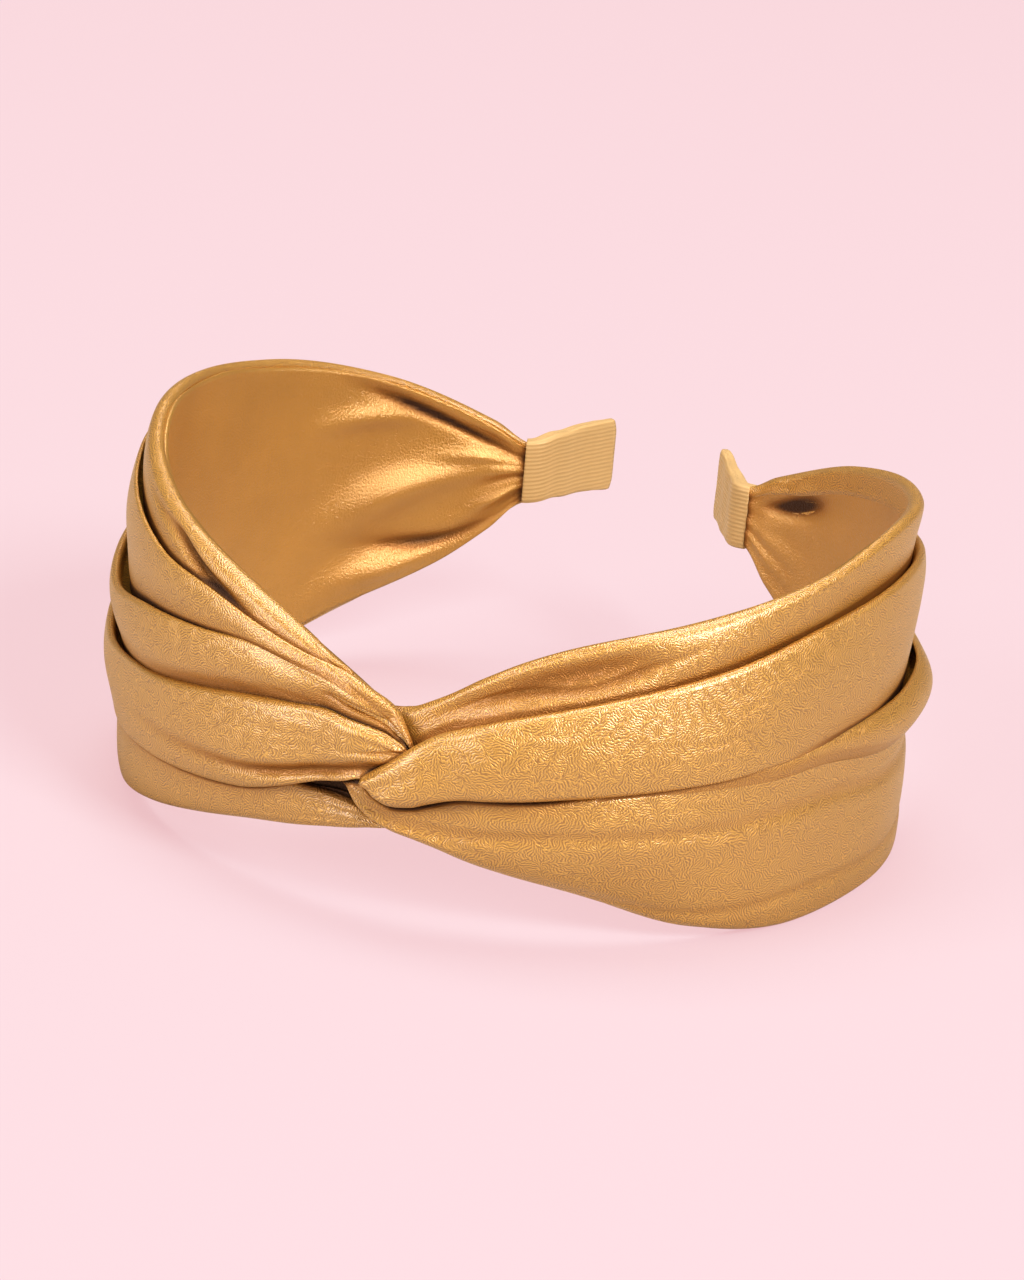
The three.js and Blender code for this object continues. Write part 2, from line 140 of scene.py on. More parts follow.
# How far each fold stands out by distance from the knot: plus where the cloth below laps over the
# cloth above, minus where the cloth above laps over. Dimple, crease, soft, sub, valley, dent, tuck and hem
# are depths of grooves, and bulge is how far the right half's roll puffs out
STEP_STATIONS = (-6.0, 0.0, 8.0, 15.0, 25.0, 35.0, 44.0, 52.0, 70.0, 97.0, 110.0, 123.0, 149.0, 175.6)
LEFT_STEPS = {
    "rim": (0.3, 0.3, 0.5, 0.8, 1.1, 1.4, 1.5, 1.5, 1.6, 1.5, 1.5, 1.4, 1.0, 0.5),
    "upper": (0.3, 0.35, 0.5, 0.7, 1.0, 1.6, 1.9, 2.3, 3.1, 2.9, 2.4, 1.9, 1.1, 0.5),
    "middle": (1.0, 1.4, 1.5, 1.1, 0.8, 0.7, 0.7, 1.0, 2.7, 2.9, 2.4, 1.9, 1.1, 0.5),
    "soft": (0.0, 0.2, 0.6, 0.8, 0.9, 0.9, 0.7, 0.3, 0.0, 0.0, 0.0, 0.0, 0.0, 0.0),
    "dimple": (0.0, 0.0, 0.0, 0.0, 0.0, 1.0, 1.6, 0.5, 0.0, 0.0, 0.0, 0.0, 0.0, 0.0),
    "crease": (0.9, 1.1, 0.5, 0.0, 0.0, 0.0, 0.0, 0.0, 0.0, 0.0, 0.0, 0.0, 0.0, 0.0),
    "sub": (0.45, 0.4, 0.0, 0.0, 0.0, 0.0, 0.0, 0.0, 0.0, 0.0, 0.0, 0.0, 0.0, 0.0),
    "valley": (0.8, 1.1, 1.4, 1.4, 1.0, 0.6, 0.3, 0.1, 0.0, 0.0, 0.0, 0.0, 0.0, 0.0),
    "lip": (-1.6, -2.0, -2.5, -2.7, -2.7, -2.5, -2.3, -2.0, -1.6, -1.3, -1.2, -1.2, -0.8, -0.4),
}
RIGHT_STEPS = {
    "main": (1.2, 1.4, 1.7, 2.0, 2.3, 2.5, 2.5, 2.5, 2.5, 2.3, 2.1, 1.7, 1.1, 0.5),
    "dent": (0.0, 0.2, 0.8, 1.6, 2.4, 2.0, 0.4, 0.0, 0.0, 0.0, 0.0, 0.0, 0.0, 0.0),
    "crease": (0.0, 0.0, 0.1, 0.4, 0.8, 0.9, 0.3, 0.0, 0.0, 0.0, 0.0, 0.0, 0.0, 0.0),
    "pocket": (-0.6, -0.6, -0.6, -0.6, -0.6, -0.6, -0.5, -0.4, 0.6, 2.7, 3.0, 1.6, 0.6, 0.4),
    "bulge": (0.4, 0.4, 0.4, 0.4, 0.4, 0.4, 0.4, 0.4, 0.8, 2.4, 3.0, 2.3, 0.8, 0.4),
    "groove": (-1.6, -2.0, -2.2, -2.0, -1.6, 0.3, 0.3, 0.3, 0.3, 0.3, 0.3, 0.4, 0.6, 0.4),
    "tuck": (0.3, 0.4, 0.5, 0.5, 0.5, 0.5, 0.5, 0.5, 0.6, 0.7, 0.7, 0.7, 0.5, 0.3),
    "hem": (0.0, 0.0, 0.0, 0.1, 0.2, 0.3, 0.4, 0.4, 0.5, 0.5, 0.5, 0.5, 0.4, 0.3),
}

# Share of the swell that is left at the sides of the left and the right half, and where it fades to that
SIDE_SWELL = {-1: 0.78, 1: 0.0}
SIDE_FADE = (40, 80)

# Where the pleats end past the knot, and where the left half's rim and the right half's roll begin
LEFT_END, LEFT_FLAP_END = -5.4, -0.2
RIGHT_END, RIGHT_FLAP_END = -7.4, -2.6
RIM_START, ROLL_START = 7.0, 20.0

# Inner face of the pleats, and where each half's bundle lifts it at the knot
INNER_FACE = 0.1
LEFT_KNOT_FACE, RIGHT_KNOT_FACE = 3.7, 3.6

# Patches in painted shade that close the eye under the left bundle: from, to and step along the band, how
# far in they lie, and half of a patch's thickness
EYE_ALONG = (1.5, 18.0, 0.5)
EYE_BACK, EYE_BRIM, EYE_LOW = -2.6, -2.1, -2.4
EYE_HALF = 0.15

# A height under the whole band, for a shade that falls on no pleat
BELOW_ALL = -50.0

# Points over a pleat's front and its back, and how evenly those on the front are spread, 0 to 1
FRONT_POINTS, BACK_POINTS = 44, 12
FRONT_EVEN = 0.45

# Least height of a pleat, the largest share of it that a lip's radius takes, and a plain pleat's crown:
# share of its height, what is added to that, and the least and most
LEAST_HEIGHT, LIP_LIMIT = 0.2, 0.48
CROWN_SHARE, CROWN_BASE, CROWN_RANGE = 0.035, 0.15, (0.1, 0.8)

# Share of a step by which the lapping cloth stands out and the cloth under it goes in, the range of steps
# over which the lap changes sides, the least room for a lap, and the lip's radius as a share of the step
STEP_OVER, STEP_UNDER = 0.6, 0.4
LAP_TURN, LEAST_LAP = (-0.2, 0.2), 0.2
LIP_SHARE, LEAST_LIP, FIRM_LIP = 0.3, 0.3, 0.8

# Painted shade of a fold: how much comes with each mm of step, then strength and reach of the painted dark
# line in the fold and of the softer painted shade beside it
DARK_PER_STEP = 0.6
FOLD_DARK = ((0.8, 0.45), (0.2, 2.2))

# Noise on the cloth: how fine the slow ripple is along and across; for each layer of gathers its lanes over
# the height, how fine it is along, strength and seed; and from where to where gathers grow towards a tip
SLOW_RIPPLE = (0.042, 0.11)
GATHER_LAYERS = ((9, 0.05, 1.0, 3.3), (21, 0.07, 0.5, 6.1))
TIP_GATHERS = (120, 165)

# Steps of noise and of the cloth's map from pleat to pleat, so that no two look alike
PLEAT_SEED, MAP_SHIFT = 0.37, 90.0

# Distance between sections at the knot and at the sides, where it changes, and the cloth under a tip
CLOSE, WIDE, SPREAD_OUT = 0.3, 1.1, (10, 45)
CLOTH_TUCK = 0.5

# Depth of the fine patterns that the materials press into the surface, in metres
CRINKLE_DEPTH, THREAD_DEPTH, RIB_DEPTH = 0.00012, 0.00024, 0.0002

# How far each tip sits above the middle of the cloth and outside its face, its steps along and points
# around, how square its section is at the edges and the faces, and how uneven edges, face and end are
TIP_RISE, TIP_OUT = {-1: 1.0, 1: -0.8}, 0.6
TIP_POINTS = (60, 48)
TIP_EDGE_POWER, TIP_FACE_POWER = 0.22, 0.35
TIP_EDGE_UNEVEN, TIP_FACE_UNEVEN, TIP_END_UNEVEN = 0.5, 0.25, 0.5

# Photo camera, in the frame of the model
CAMERA_PLACE = (229.33, -692.75, 301.59)
CAMERA_AZIMUTH = 18.43
CAMERA_ELEVATION = 20.42
CAMERA_ROLL = 5.15
CAMERA_LENS = 129.65
IMAGE_SIZE = (1024, 1280)
PRINCIPAL_POINT = (521.7, 618.8)

# Lights in metres and watts, all aimed at the middle of the band: place, width, power and colour
LIGHT_AIM = (0, 0, 0.03)
LIGHTS = {
    "key": ((1.6, -1.0, 1.6), 0.8, 67, (1, 0.98, 0.95)),
    "top": ((-0.3, 0.5, 2.6), 1.3, 49, (1, 0.98, 0.96)),
    "fill": ((-1.5, -1.7, 1.2), 1.2, 40, (1, 0.98, 0.96)),
}
FLOOR_SIZE = 8.0
WORLD_COLOUR, WORLD_STRENGTH = (1.0, 0.97, 0.94, 1), 0.22

COLOUR, VALUE = "NodeSocketColor", "NodeSocketFloat"


class BandSizes(bpy.types.PropertyGroup):
    """Sizes of the cloth and the tips."""

    rim_radius: bpy.props.FloatProperty(
        name="Rim radius", description="Radius of the rolled rim at the top and bottom edges",
        unit="LENGTH", default=1.25 * MM, min=0.5 * MM, max=3.0 * MM,
    )
    rim_turn_in: bpy.props.FloatProperty(
        name="Rim turned in", description="How far the cloth turns in behind the rims",
        unit="LENGTH", default=1.3 * MM, min=0.6 * MM, max=6.0 * MM,
    )
    lip_radius: bpy.props.FloatProperty(
        name="Pleat lip radius", description="Largest radius of a pleat's folded edge",
        unit="LENGTH", default=0.85 * MM, min=0.3 * MM, max=1.5 * MM,
    )
    pleat_lap: bpy.props.FloatProperty(
        name="Pleat lap", description="How far one pleat reaches under the next",
        unit="LENGTH", default=2.6 * MM, min=0.5 * MM, max=5.0 * MM,
    )
    top_lean: bpy.props.FloatProperty(
        name="Lean of the top edge", description="How far the top edge leans away from the head",
        unit="LENGTH", default=-2.0 * MM, min=-6.0 * MM, max=6.0 * MM,
    )
    bottom_lean: bpy.props.FloatProperty(
        name="Lean of the bottom edge", description="How far the bottom edge leans away from the head",
        unit="LENGTH", default=0.4 * MM, min=-6.0 * MM, max=6.0 * MM,
    )
    root_lean: bpy.props.FloatProperty(
        name="Lean at the tips", description="How far the cloth leans out where it meets the tips",
        unit="LENGTH", default=-0.8 * MM, min=-6.0 * MM, max=6.0 * MM,
    )
    lining_thickness: bpy.props.FloatProperty(
        name="Lining thickness", description="Thickness of the lining",
        unit="LENGTH", default=0.9 * MM, min=0.3 * MM, max=3.0 * MM,
    )
    lining_gap: bpy.props.FloatProperty(
        name="Gap behind the lining", description="Gap between the lining and the pleated cloth",
        unit="LENGTH", default=0.3 * MM, min=0.1 * MM, max=1.0 * MM,
    )
    tip_length: bpy.props.FloatProperty(
        name="Tip length", description="Length of a ribbon tip along its middle",
        unit="LENGTH", default=19.9 * MM, min=8.0 * MM, max=40.0 * MM,
    )
    tip_cover: bpy.props.FloatProperty(
        name="Tip over the cloth", description="How far a tip reaches over the end of the cloth",
        unit="LENGTH", default=0.3 * MM, min=0.0 * MM, max=4.0 * MM,
    )
    tip_width: bpy.props.FloatProperty(
        name="Tip width at root", description="Height of a tip where it leaves the cloth",
        unit="LENGTH", default=11.7 * MM, min=6.0 * MM, max=25.0 * MM,
    )
    tip_end_width: bpy.props.FloatProperty(
        name="Tip width at end", description="Height of a tip at its free end",
        unit="LENGTH", default=13.4 * MM, min=6.0 * MM, max=25.0 * MM,
    )
    tip_bend: bpy.props.FloatProperty(
        name="Tip bend", description="Length over which a tip turns away from the head",
        unit="LENGTH", default=3.5 * MM, min=1.0 * MM, max=12.0 * MM,
    )
    tip_root: bpy.props.FloatProperty(
        name="Tip thickness at root", description="Thickness of a tip where it leaves the cloth",
        unit="LENGTH", default=3.2 * MM, min=1.0 * MM, max=5.0 * MM,
    )
    tip_end: bpy.props.FloatProperty(
        name="Tip thickness at end", description="Thickness of a tip at its free end",
        unit="LENGTH", default=2.2 * MM, min=1.0 * MM, max=5.0 * MM,
    )
    root_pinch: bpy.props.FloatProperty(
        name="Height left at the tips",
        description="Share of the cloth's height that is left where the tips grip it",
        subtype="FACTOR", default=0.87, min=0.5, max=1.0,
    )
    gather_height: bpy.props.FloatProperty(
        name="Lining folds", description="How strongly the lining's folds stand in, 1 as made",
        subtype="FACTOR", default=1.0, min=0.0, max=2.0,
    )
    tip_flare: bpy.props.FloatProperty(
        name="Tip flare", description="Angle by which a tip turns away from the head",
        subtype="ANGLE", default=math.radians(46), min=0.0, max=math.radians(80),
    )


class BandLooks(bpy.types.PropertyGroup):
    """Colours of the cloth, the ribbon and the stage, and of the painted shade in the cloth's folds and
    crinkle.
    """

    gold: bpy.props.FloatVectorProperty(
        name="Gold", description="Light tone of the pleated cloth",
        subtype="COLOR", size=4, min=0.0, max=1.0, default=(0.81, 0.43, 0.056, 1.0),
    )
    gold_mid: bpy.props.FloatVectorProperty(
        name="Gold, mid", description="Second tone that drifts over the pleated cloth",
        subtype="COLOR", size=4, min=0.0, max=1.0, default=(0.75, 0.37, 0.04, 1.0),
    )
    # Painted shade: the darker tone laid in the grooves of the crinkle
    gold_deep: bpy.props.FloatVectorProperty(
        name="Gold, deep", description="Tone between the ridges of the crinkle",
        subtype="COLOR", size=4, min=0.0, max=1.0, default=(0.38, 0.155, 0.012, 1.0),
    )
    # Painted shade: brown laid on the cloth beside a fold
    gold_shade: bpy.props.FloatVectorProperty(
        name="Gold, shaded", description="Brown of the cloth beside a fold",
        subtype="COLOR", size=4, min=0.0, max=1.0, default=(0.4, 0.15, 0.022, 1.0),
    )
    # Painted shade: near black laid deep in a fold, in pockets and on the eye patches
    gold_fold: bpy.props.FloatVectorProperty(
        name="Gold, in folds", description="Brown of the cloth deep in a fold",
        subtype="COLOR", size=4, min=0.0, max=1.0, default=(0.045, 0.015, 0.004, 1.0),
    )
    satin: bpy.props.FloatVectorProperty(
        name="Lining", description="Light tone of the lining",
        subtype="COLOR", size=4, min=0.0, max=1.0, default=(0.69, 0.325, 0.045, 1.0),
    )
    satin_deep: bpy.props.FloatVectorProperty(
        name="Lining, deep", description="Second tone that drifts over the lining",
        subtype="COLOR", size=4, min=0.0, max=1.0, default=(0.54, 0.245, 0.03, 1.0),
    )
    ribbon: bpy.props.FloatVectorProperty(
        name="Ribbon", description="Tone on the ribs of the ribbon",
        subtype="COLOR", size=4, min=0.0, max=1.0, default=(0.63, 0.385, 0.148, 1.0),
    )
    ribbon_deep: bpy.props.FloatVectorProperty(
        name="Ribbon, deep", description="Tone between the ribs of the ribbon",
        subtype="COLOR", size=4, min=0.0, max=1.0, default=(0.575, 0.345, 0.128, 1.0),
    )
    floor: bpy.props.FloatVectorProperty(
        name="Floor", description="Part of the floor's colour that takes shadows",
        subtype="COLOR", size=4, min=0.0, max=1.0, default=(0.12, 0.155, 0.168, 1.0),
    )
    glow: bpy.props.FloatVectorProperty(
        name="Floor glow", description="Part of the floor's colour that stays even",
        subtype="COLOR", size=4, min=0.0, max=1.0, default=(0.775, 0.462, 0.488, 1.0),
    )
    bounce: bpy.props.FloatVectorProperty(
        name="Floor bounce", description="Colour of the light that the floor gives back",
        subtype="COLOR", size=4, min=0.0, max=1.0, default=(0.5, 0.45, 0.42, 1.0),
    )


def sizes():
    """The band's sizes, as the scene holds them, with lengths in millimetres."""
    group = bpy.context.scene.headband_sizes
    values = SimpleNamespace()
    for prop in group.bl_rna.properties:
        if prop.type == "FLOAT":
            unit = MM if prop.unit == "LENGTH" else 1
            setattr(values, prop.identifier, getattr(group, prop.identifier) / unit)
    return values


def looks():
    """The band's colours, as the scene holds them."""
    return bpy.context.scene.headband_looks


def smooth(x, low, high):
    """Smooth ramp from 0 at low to 1 at high."""
    t = np.clip((np.asarray(x, float) - low) / (high - low), 0, 1)
    return t * t * (3 - 2 * t)


def mix(a, b, t):
    """Straight blend from a to b."""
    return a + (b - a) * t


def follow(places, values, at):
    """Smooth curve through the values that doesn't overshoot them, read at the given places."""
    x = np.asarray(places, float)
    y = np.asarray(values, float)
    at = np.clip(np.asarray(at, float), x[0], x[-1])
    width = np.diff(x)
    rise = np.diff(y) / width
    slope = np.zeros_like(y)
    slope[0], slope[-1] = rise[0], rise[-1]
    same = rise[:-1] * rise[1:] > 0
    w1 = 2 * width[1:] + width[:-1]
    w2 = width[1:] + 2 * width[:-1]
    with np.errstate(divide="ignore", invalid="ignore"):
        mean = (w1 + w2) / (w1 / rise[:-1] + w2 / rise[1:])
    slope[1:-1] = np.where(same, mean, 0)
    i = np.clip(np.searchsorted(x, at, side="right") - 1, 0, len(width) - 1)
    h = width[i]
    t = (at - x[i]) / h
    return (
        (1 + 2 * t) * (1 - t) ** 2 * y[i]
        + t * (1 - t) ** 2 * h * slope[i]
        + t * t * (3 - 2 * t) * y[i + 1]
        + t * t * (t - 1) * h * slope[i + 1]
    )


def lines(columns, rows, along):
    """Every column of a table, read along the band, by name."""
    table = np.asarray(rows, float)
    return {name: follow(table[:, 0], table[:, k], along) for k, name in enumerate(columns)}


def ripple(along, across, scale, seed):
    """Soft noise from -1 to 1 over a grid of places, the same on every run."""
    a, c = np.broadcast_arrays(np.asarray(along, float), np.asarray(across, float))
    spots = zip(a.ravel() * scale[0], c.ravel() * scale[1])
    return np.array([noise.noise(Vector((x, y, seed))) for x, y in spots]).reshape(a.shape)


def plan(along):
    """Point and heading of the plan on the right half, by distance from the knot."""
    left = np.abs(np.asarray(along, float))
    x = np.zeros_like(left)
    y = np.full_like(left, KNOT_Y)
    heading = np.zeros_like(left)
    for radius, turn in PLAN_ARCS:
        step = np.minimum(left / radius, math.radians(turn))
        x += radius * (np.sin(heading + step) - np.sin(heading))
        y += radius * (np.cos(heading) - np.cos(heading + step))
        heading += step
        left = left - step * radius
    return x + left * np.cos(heading), y + left * np.sin(heading), heading


def place(side, along, out, height):
    """Points of the band in metres: side is 1 on the right half and -1 on the left."""
    along, out, height = np.broadcast_arrays(along, out, height)
    edge = lines(EDGE_COLUMNS, EDGES, np.abs(along))
    share = np.clip((edge["top"] - height) / (edge["top"] - edge["bottom"]), 0, 1)
    size = sizes()
    lean = mix(size.top_lean, size.bottom_lean, share)
    lean = mix(lean, size.root_lean, smooth(np.abs(along), 140, HALF_LENGTH))
    pinch = smooth(np.abs(along), HALF_LENGTH - 6, HALF_LENGTH - 0.5)
    middle = 0.5 * (EDGES[-1][1] + EDGES[-1][2])
    height = mix(height, middle + size.root_pinch * (height - middle), pinch)
    x, y, heading = plan(along)
    sign = np.where(along < 0, -side, side)
    offset = mix(out, 0.45 * out, pinch) + lean
    x, y = sign * (x + np.sin(heading) * offset), y - np.cos(heading) * offset
    return MM * np.stack([x, y, height], axis=-1)


def swell(side, along, height):
    """How far the cloth stands out at a height, before its folds."""
    edge = lines(EDGE_COLUMNS, EDGES, np.abs(along))
    share = np.clip((edge["top"] - height) / (edge["top"] - edge["bottom"]), 0, 1)
    rise = np.clip(1 - (2 * share - 1) ** 2, 0, 1) ** 0.7
    flat = mix(1.0, SIDE_SWELL[side], smooth(np.abs(along), *SIDE_FADE))
    return 0.9 * sizes().rim_radius + flat * (edge["swell"] - sizes().rim_radius) * rise


class Shell:
    """Closed cloth bodies gathered into one mesh, with a map in millimetres along and across the cloth."""

    def __init__(self):
        self.points = []
        self.faces = []
        self.map = []
        self.painted_shade = []
        self.count = 0

    def loft(self, rings, spots, painted_shade=None):
        """Add a closed body through rings of points, with their map and how much painted shade each takes."""
        stations, around = rings.shape[:2]
        grid = np.arange(stations * around).reshape(stations, around) + self.count
        nxt = np.roll(grid, -1, axis=1)
        quads = np.stack([grid[:-1], nxt[:-1], nxt[1:], grid[1:]], axis=-1).reshape(-1, 4)
        self.faces += [tuple(q) for q in quads.tolist()]
        self.faces.append(tuple(grid[0][::-1].tolist()))
        self.faces.append(tuple(grid[-1].tolist()))
        self.points.append(rings.reshape(-1, 3))
        self.map.append(spots.reshape(-1, 2))
        self.painted_shade.append(np.zeros(stations * around) if painted_shade is None else np.clip(painted_shade, 0, 1).ravel())
        self.count += stations * around

    def build(self, name):
        """Make the mesh object, faces outward and smooth."""
        points = np.concatenate(self.points)
        spots = np.concatenate(self.map)
        mesh = bpy.data.meshes.new(name)
        mesh.from_pydata(points.tolist(), [], self.faces)
        layer = mesh.uv_layers.new(name="cloth")
        corner = np.zeros(len(mesh.loops), np.int32)
        mesh.loops.foreach_get("vertex_index", corner)
        layer.data.foreach_set("uv", spots[corner].astype(np.float32).ravel())
        # Painted shade per point, which the materials turn brown and near black in folds and creases
        depth = mesh.attributes.new("painted_shade", "FLOAT", "POINT")
        depth.data.foreach_set("value", np.concatenate(self.painted_shade).astype(np.float32))
        mesh.update()
        piece = bpy.data.objects.new(name, mesh)
        bpy.context.scene.collection.objects.link(piece)
        for other in bpy.context.selected_objects:
            other.select_set(False)
        bpy.context.view_layer.objects.active = piece
        piece.select_set(True)
        bpy.ops.object.mode_set(mode="EDIT")
        bpy.ops.mesh.select_all(action="SELECT")
        bpy.ops.mesh.normals_make_consistent(inside=False)
        bpy.ops.object.mode_set(mode="OBJECT")
        bpy.ops.object.shade_smooth()
        return piece


def pleat(
    shell, side, along, edges, out, radius, lap, inner, seed,
    puff=None, grooves=(), grain=None, painted_shade_lines=(), ripples=0.55,
):
    """Add one pleat: edges, out and radius are (top, bottom) arrays along the band.

    inner is the face behind it, and lap how far its (top, bottom) edge stays thin. Each groove is
    (height, depth, width, shade), shade being its painted shade per mm of depth, and each line of painted
    shade (height, strength, 1 above it or -1 below it).
    """
    top, bottom = (np.asarray(e, float)[:, None] for e in edges)
    out_top, out_bottom = (np.asarray(o, float)[:, None] for o in out)
    height = np.maximum(top - bottom, LEAST_HEIGHT)
    radius_top, radius_bottom = (
        np.minimum(np.asarray(r, float)[:, None], LIP_LIMIT * height) for r in radius
    )
    station = np.asarray(along, float)[:, None]
    crown = np.clip(CROWN_SHARE * height + CROWN_BASE, *CROWN_RANGE)
    if puff is not None:
        crown = np.asarray(puff, float)[:, None]
    t = 0.5 - 0.5 * np.cos(np.linspace(0, math.pi, FRONT_POINTS))
    t = mix(t, np.linspace(0, 1, FRONT_POINTS), FRONT_EVEN)[None, :]

    def surface(share):
        z = top - share * height
        n = swell(side, station, z) + mix(out_top, out_bottom, share * share * (3 - 2 * share))
        return z, n + crown * (1 - (2 * share - 1) ** 2)

    def rounding(distance, r):
        d = np.clip(distance, 0, r)
        return r - np.sqrt(np.maximum(0, r * r - (r - d) ** 2))

    z, n = surface(t)
    dark = np.zeros_like(z)
    # Grooves sink the cloth, and each also takes painted shade by its depth
    for line, depth, width, shade in grooves:
        away = (z - line[:, None]) / width
        n = n - depth[:, None] * np.exp(-away * away)
        dark = dark + shade * depth[:, None] * np.exp(-1.5 * away * away)
    # Painted shade beside fold lines: a dark line and a softer shade next to it
    for line, strength, way in painted_shade_lines:
        away = np.maximum(way * (z - line[:, None]), 0)
        for share, reach in FOLD_DARK:
            dark = dark + strength[:, None] * share * np.exp(-((away / reach) ** 2))
    n = n + ripples * ripple(station, z, SLOW_RIPPLE, seed)
    if grain is not None:
        high, low, strength = (g[:, None] for g in grain)
        lane = (high - z) / np.maximum(high - low, 1.0)
        for lanes, waves, share, shift in GATHER_LAYERS:
            n = n + share * strength * ripple(station, lane * lanes, (waves, 1.0), seed + shift)
    n_front = n - rounding(top - z, radius_top) - rounding(z - bottom, radius_bottom)

    z_back, n_back = surface(np.linspace(1, 0, BACK_POINTS + 2)[None, 1:-1])
    down, up = top - z_back, z_back - bottom
    thick = np.where(
        down < up,
        2 * radius_top - rounding(down, radius_top),
        2 * radius_bottom - rounding(up, radius_bottom),
    )
    deep = np.minimum(smooth(down, lap[0], lap[0] + 2), smooth(up, lap[1], lap[1] + 2))
    n_back = n_back - thick
    n_back = mix(n_back, np.minimum(np.asarray(inner)[:, None], n_back), deep)

    outs, heights = np.concatenate([n_front, n_back], axis=1), np.concatenate([z, z_back], axis=1)
    steps = np.hypot(np.diff(n_front, axis=1), np.diff(z, axis=1))
    run = np.concatenate([np.zeros((len(station), 1)), np.cumsum(steps, axis=1)], axis=1)
    run = run - run[:, FRONT_POINTS // 2][:, None] - 0.5 * (top + bottom)
    across = np.concatenate([run, -z_back], axis=1)
    spots = np.stack(np.broadcast_arrays(side * station, across + MAP_SHIFT * seed), axis=-1)
    dark = np.concatenate([dark, np.zeros_like(z_back)], axis=1)
    shell.loft(place(side, station, outs, heights), spots, dark)


def step_lip(step, most):
    """Radius of a pleat's lip where it stands out by a step."""
    return np.clip(LIP_SHARE * step, LEAST_LIP, most)


def gathers(along, at_knot, fade, at_tip):
    """Strength of the fine gathers: at the knot, where they fade away from it, and at the tip."""
    return at_knot * (1 - smooth(along, *fade)) + at_tip * smooth(along, *TIP_GATHERS)


def lay_pleats(
    shell, side, along, borders, steps, lifts, inner, seed, lips, grooves, grain, starts,
    shades=(), puffs=None,
):
    """Lay pleats between neighbouring border lines, lapped as the steps say.

    lips gives the lip radius by border, grooves and puffs their values by pleat, starts where each pleat
    begins, and shades the lines of painted shade that fall on every pleat.
    """
    size = sizes()
    puffs = puffs or {}
    for k in range(len(borders) - 1):
        top, bottom = borders[k], borders[k + 1]
        above, below = steps[k], steps[k + 1]
        keep = along >= starts[k]
        out_top, out_bottom = np.zeros_like(along), np.zeros_like(along)
        edge_top, edge_bottom = top, bottom
        painted_shade_lines = [(line[keep], strength[keep], way) for line, strength, way in shades]
        if above is not None:
            out_top = np.where(above > 0, STEP_OVER, STEP_UNDER) * above
            room = np.clip(0.5 * (borders[k - 1] - top), LEAST_LAP, size.pleat_lap)
            edge_top = top + room * smooth(-above, *LAP_TURN)
            brink = top + STEP_UNDER * np.minimum(above, 0)
            # Painted shade at this pleat's top, where the cloth above laps over it
            painted_shade_lines.append((brink[keep], np.clip(-DARK_PER_STEP * above, 0, 1)[keep], -1))
        if below is not None:
            out_bottom = -np.where(below > 0, STEP_UNDER, STEP_OVER) * below
            room = np.clip(0.5 * (bottom - borders[k + 2]), LEAST_LAP, size.pleat_lap)
            edge_bottom = bottom - room * smooth(below, *LAP_TURN)
            # Painted shade at this pleat's bottom, where the cloth below laps over it
            painted_shade_lines.append((bottom[keep], np.clip(DARK_PER_STEP * below, 0, 1)[keep], 1))
        radii = []
        for border, step in ((k, above), (k + 1, below)):
            lip = lips[border] if border in lips else step_lip(np.abs(step), size.lip_radius)
            radii.append(lip[keep])
        pleat(
            shell, side, along[keep],
            edges=(edge_top[keep], edge_bottom[keep]),
            out=((out_top + lifts[k])[keep], (out_bottom + lifts[k])[keep]),
            radius=radii,
            lap=[size.rim_turn_in if step is None else size.pleat_lap for step in (above, below)],
            inner=inner[keep],
            seed=seed + PLEAT_SEED * k,
            puff=puffs[k][keep] if k in puffs else None,
            grooves=[(line[keep], depth[keep], *rest) for line, depth, *rest in grooves.get(k, ())],
            grain=[g[keep] for g in grain],
            painted_shade_lines=painted_shade_lines,
        )


def stations(start):
    """Places along the band, closer together at the knot."""
    places = [start]
    while places[-1] < HALF_LENGTH:
        places.append(places[-1] + mix(CLOSE, WIDE, float(smooth(places[-1], *SPREAD_OUT))))
    places[-1] = HALF_LENGTH + CLOTH_TUCK
    return np.array(places)


def read_steps(table, along):
    """Every row of a table of steps, read along the band, by name."""
    return {name: follow(STEP_STATIONS, values, along) for name, values in table.items()}


def left_wrap():
    """The left half: a gathered bundle that ends in a wedge at the knot, and the flap under it."""
    shell = Shell()
    left_bundle(shell)
    left_flap(shell)
    left_eye(shell)
    return shell


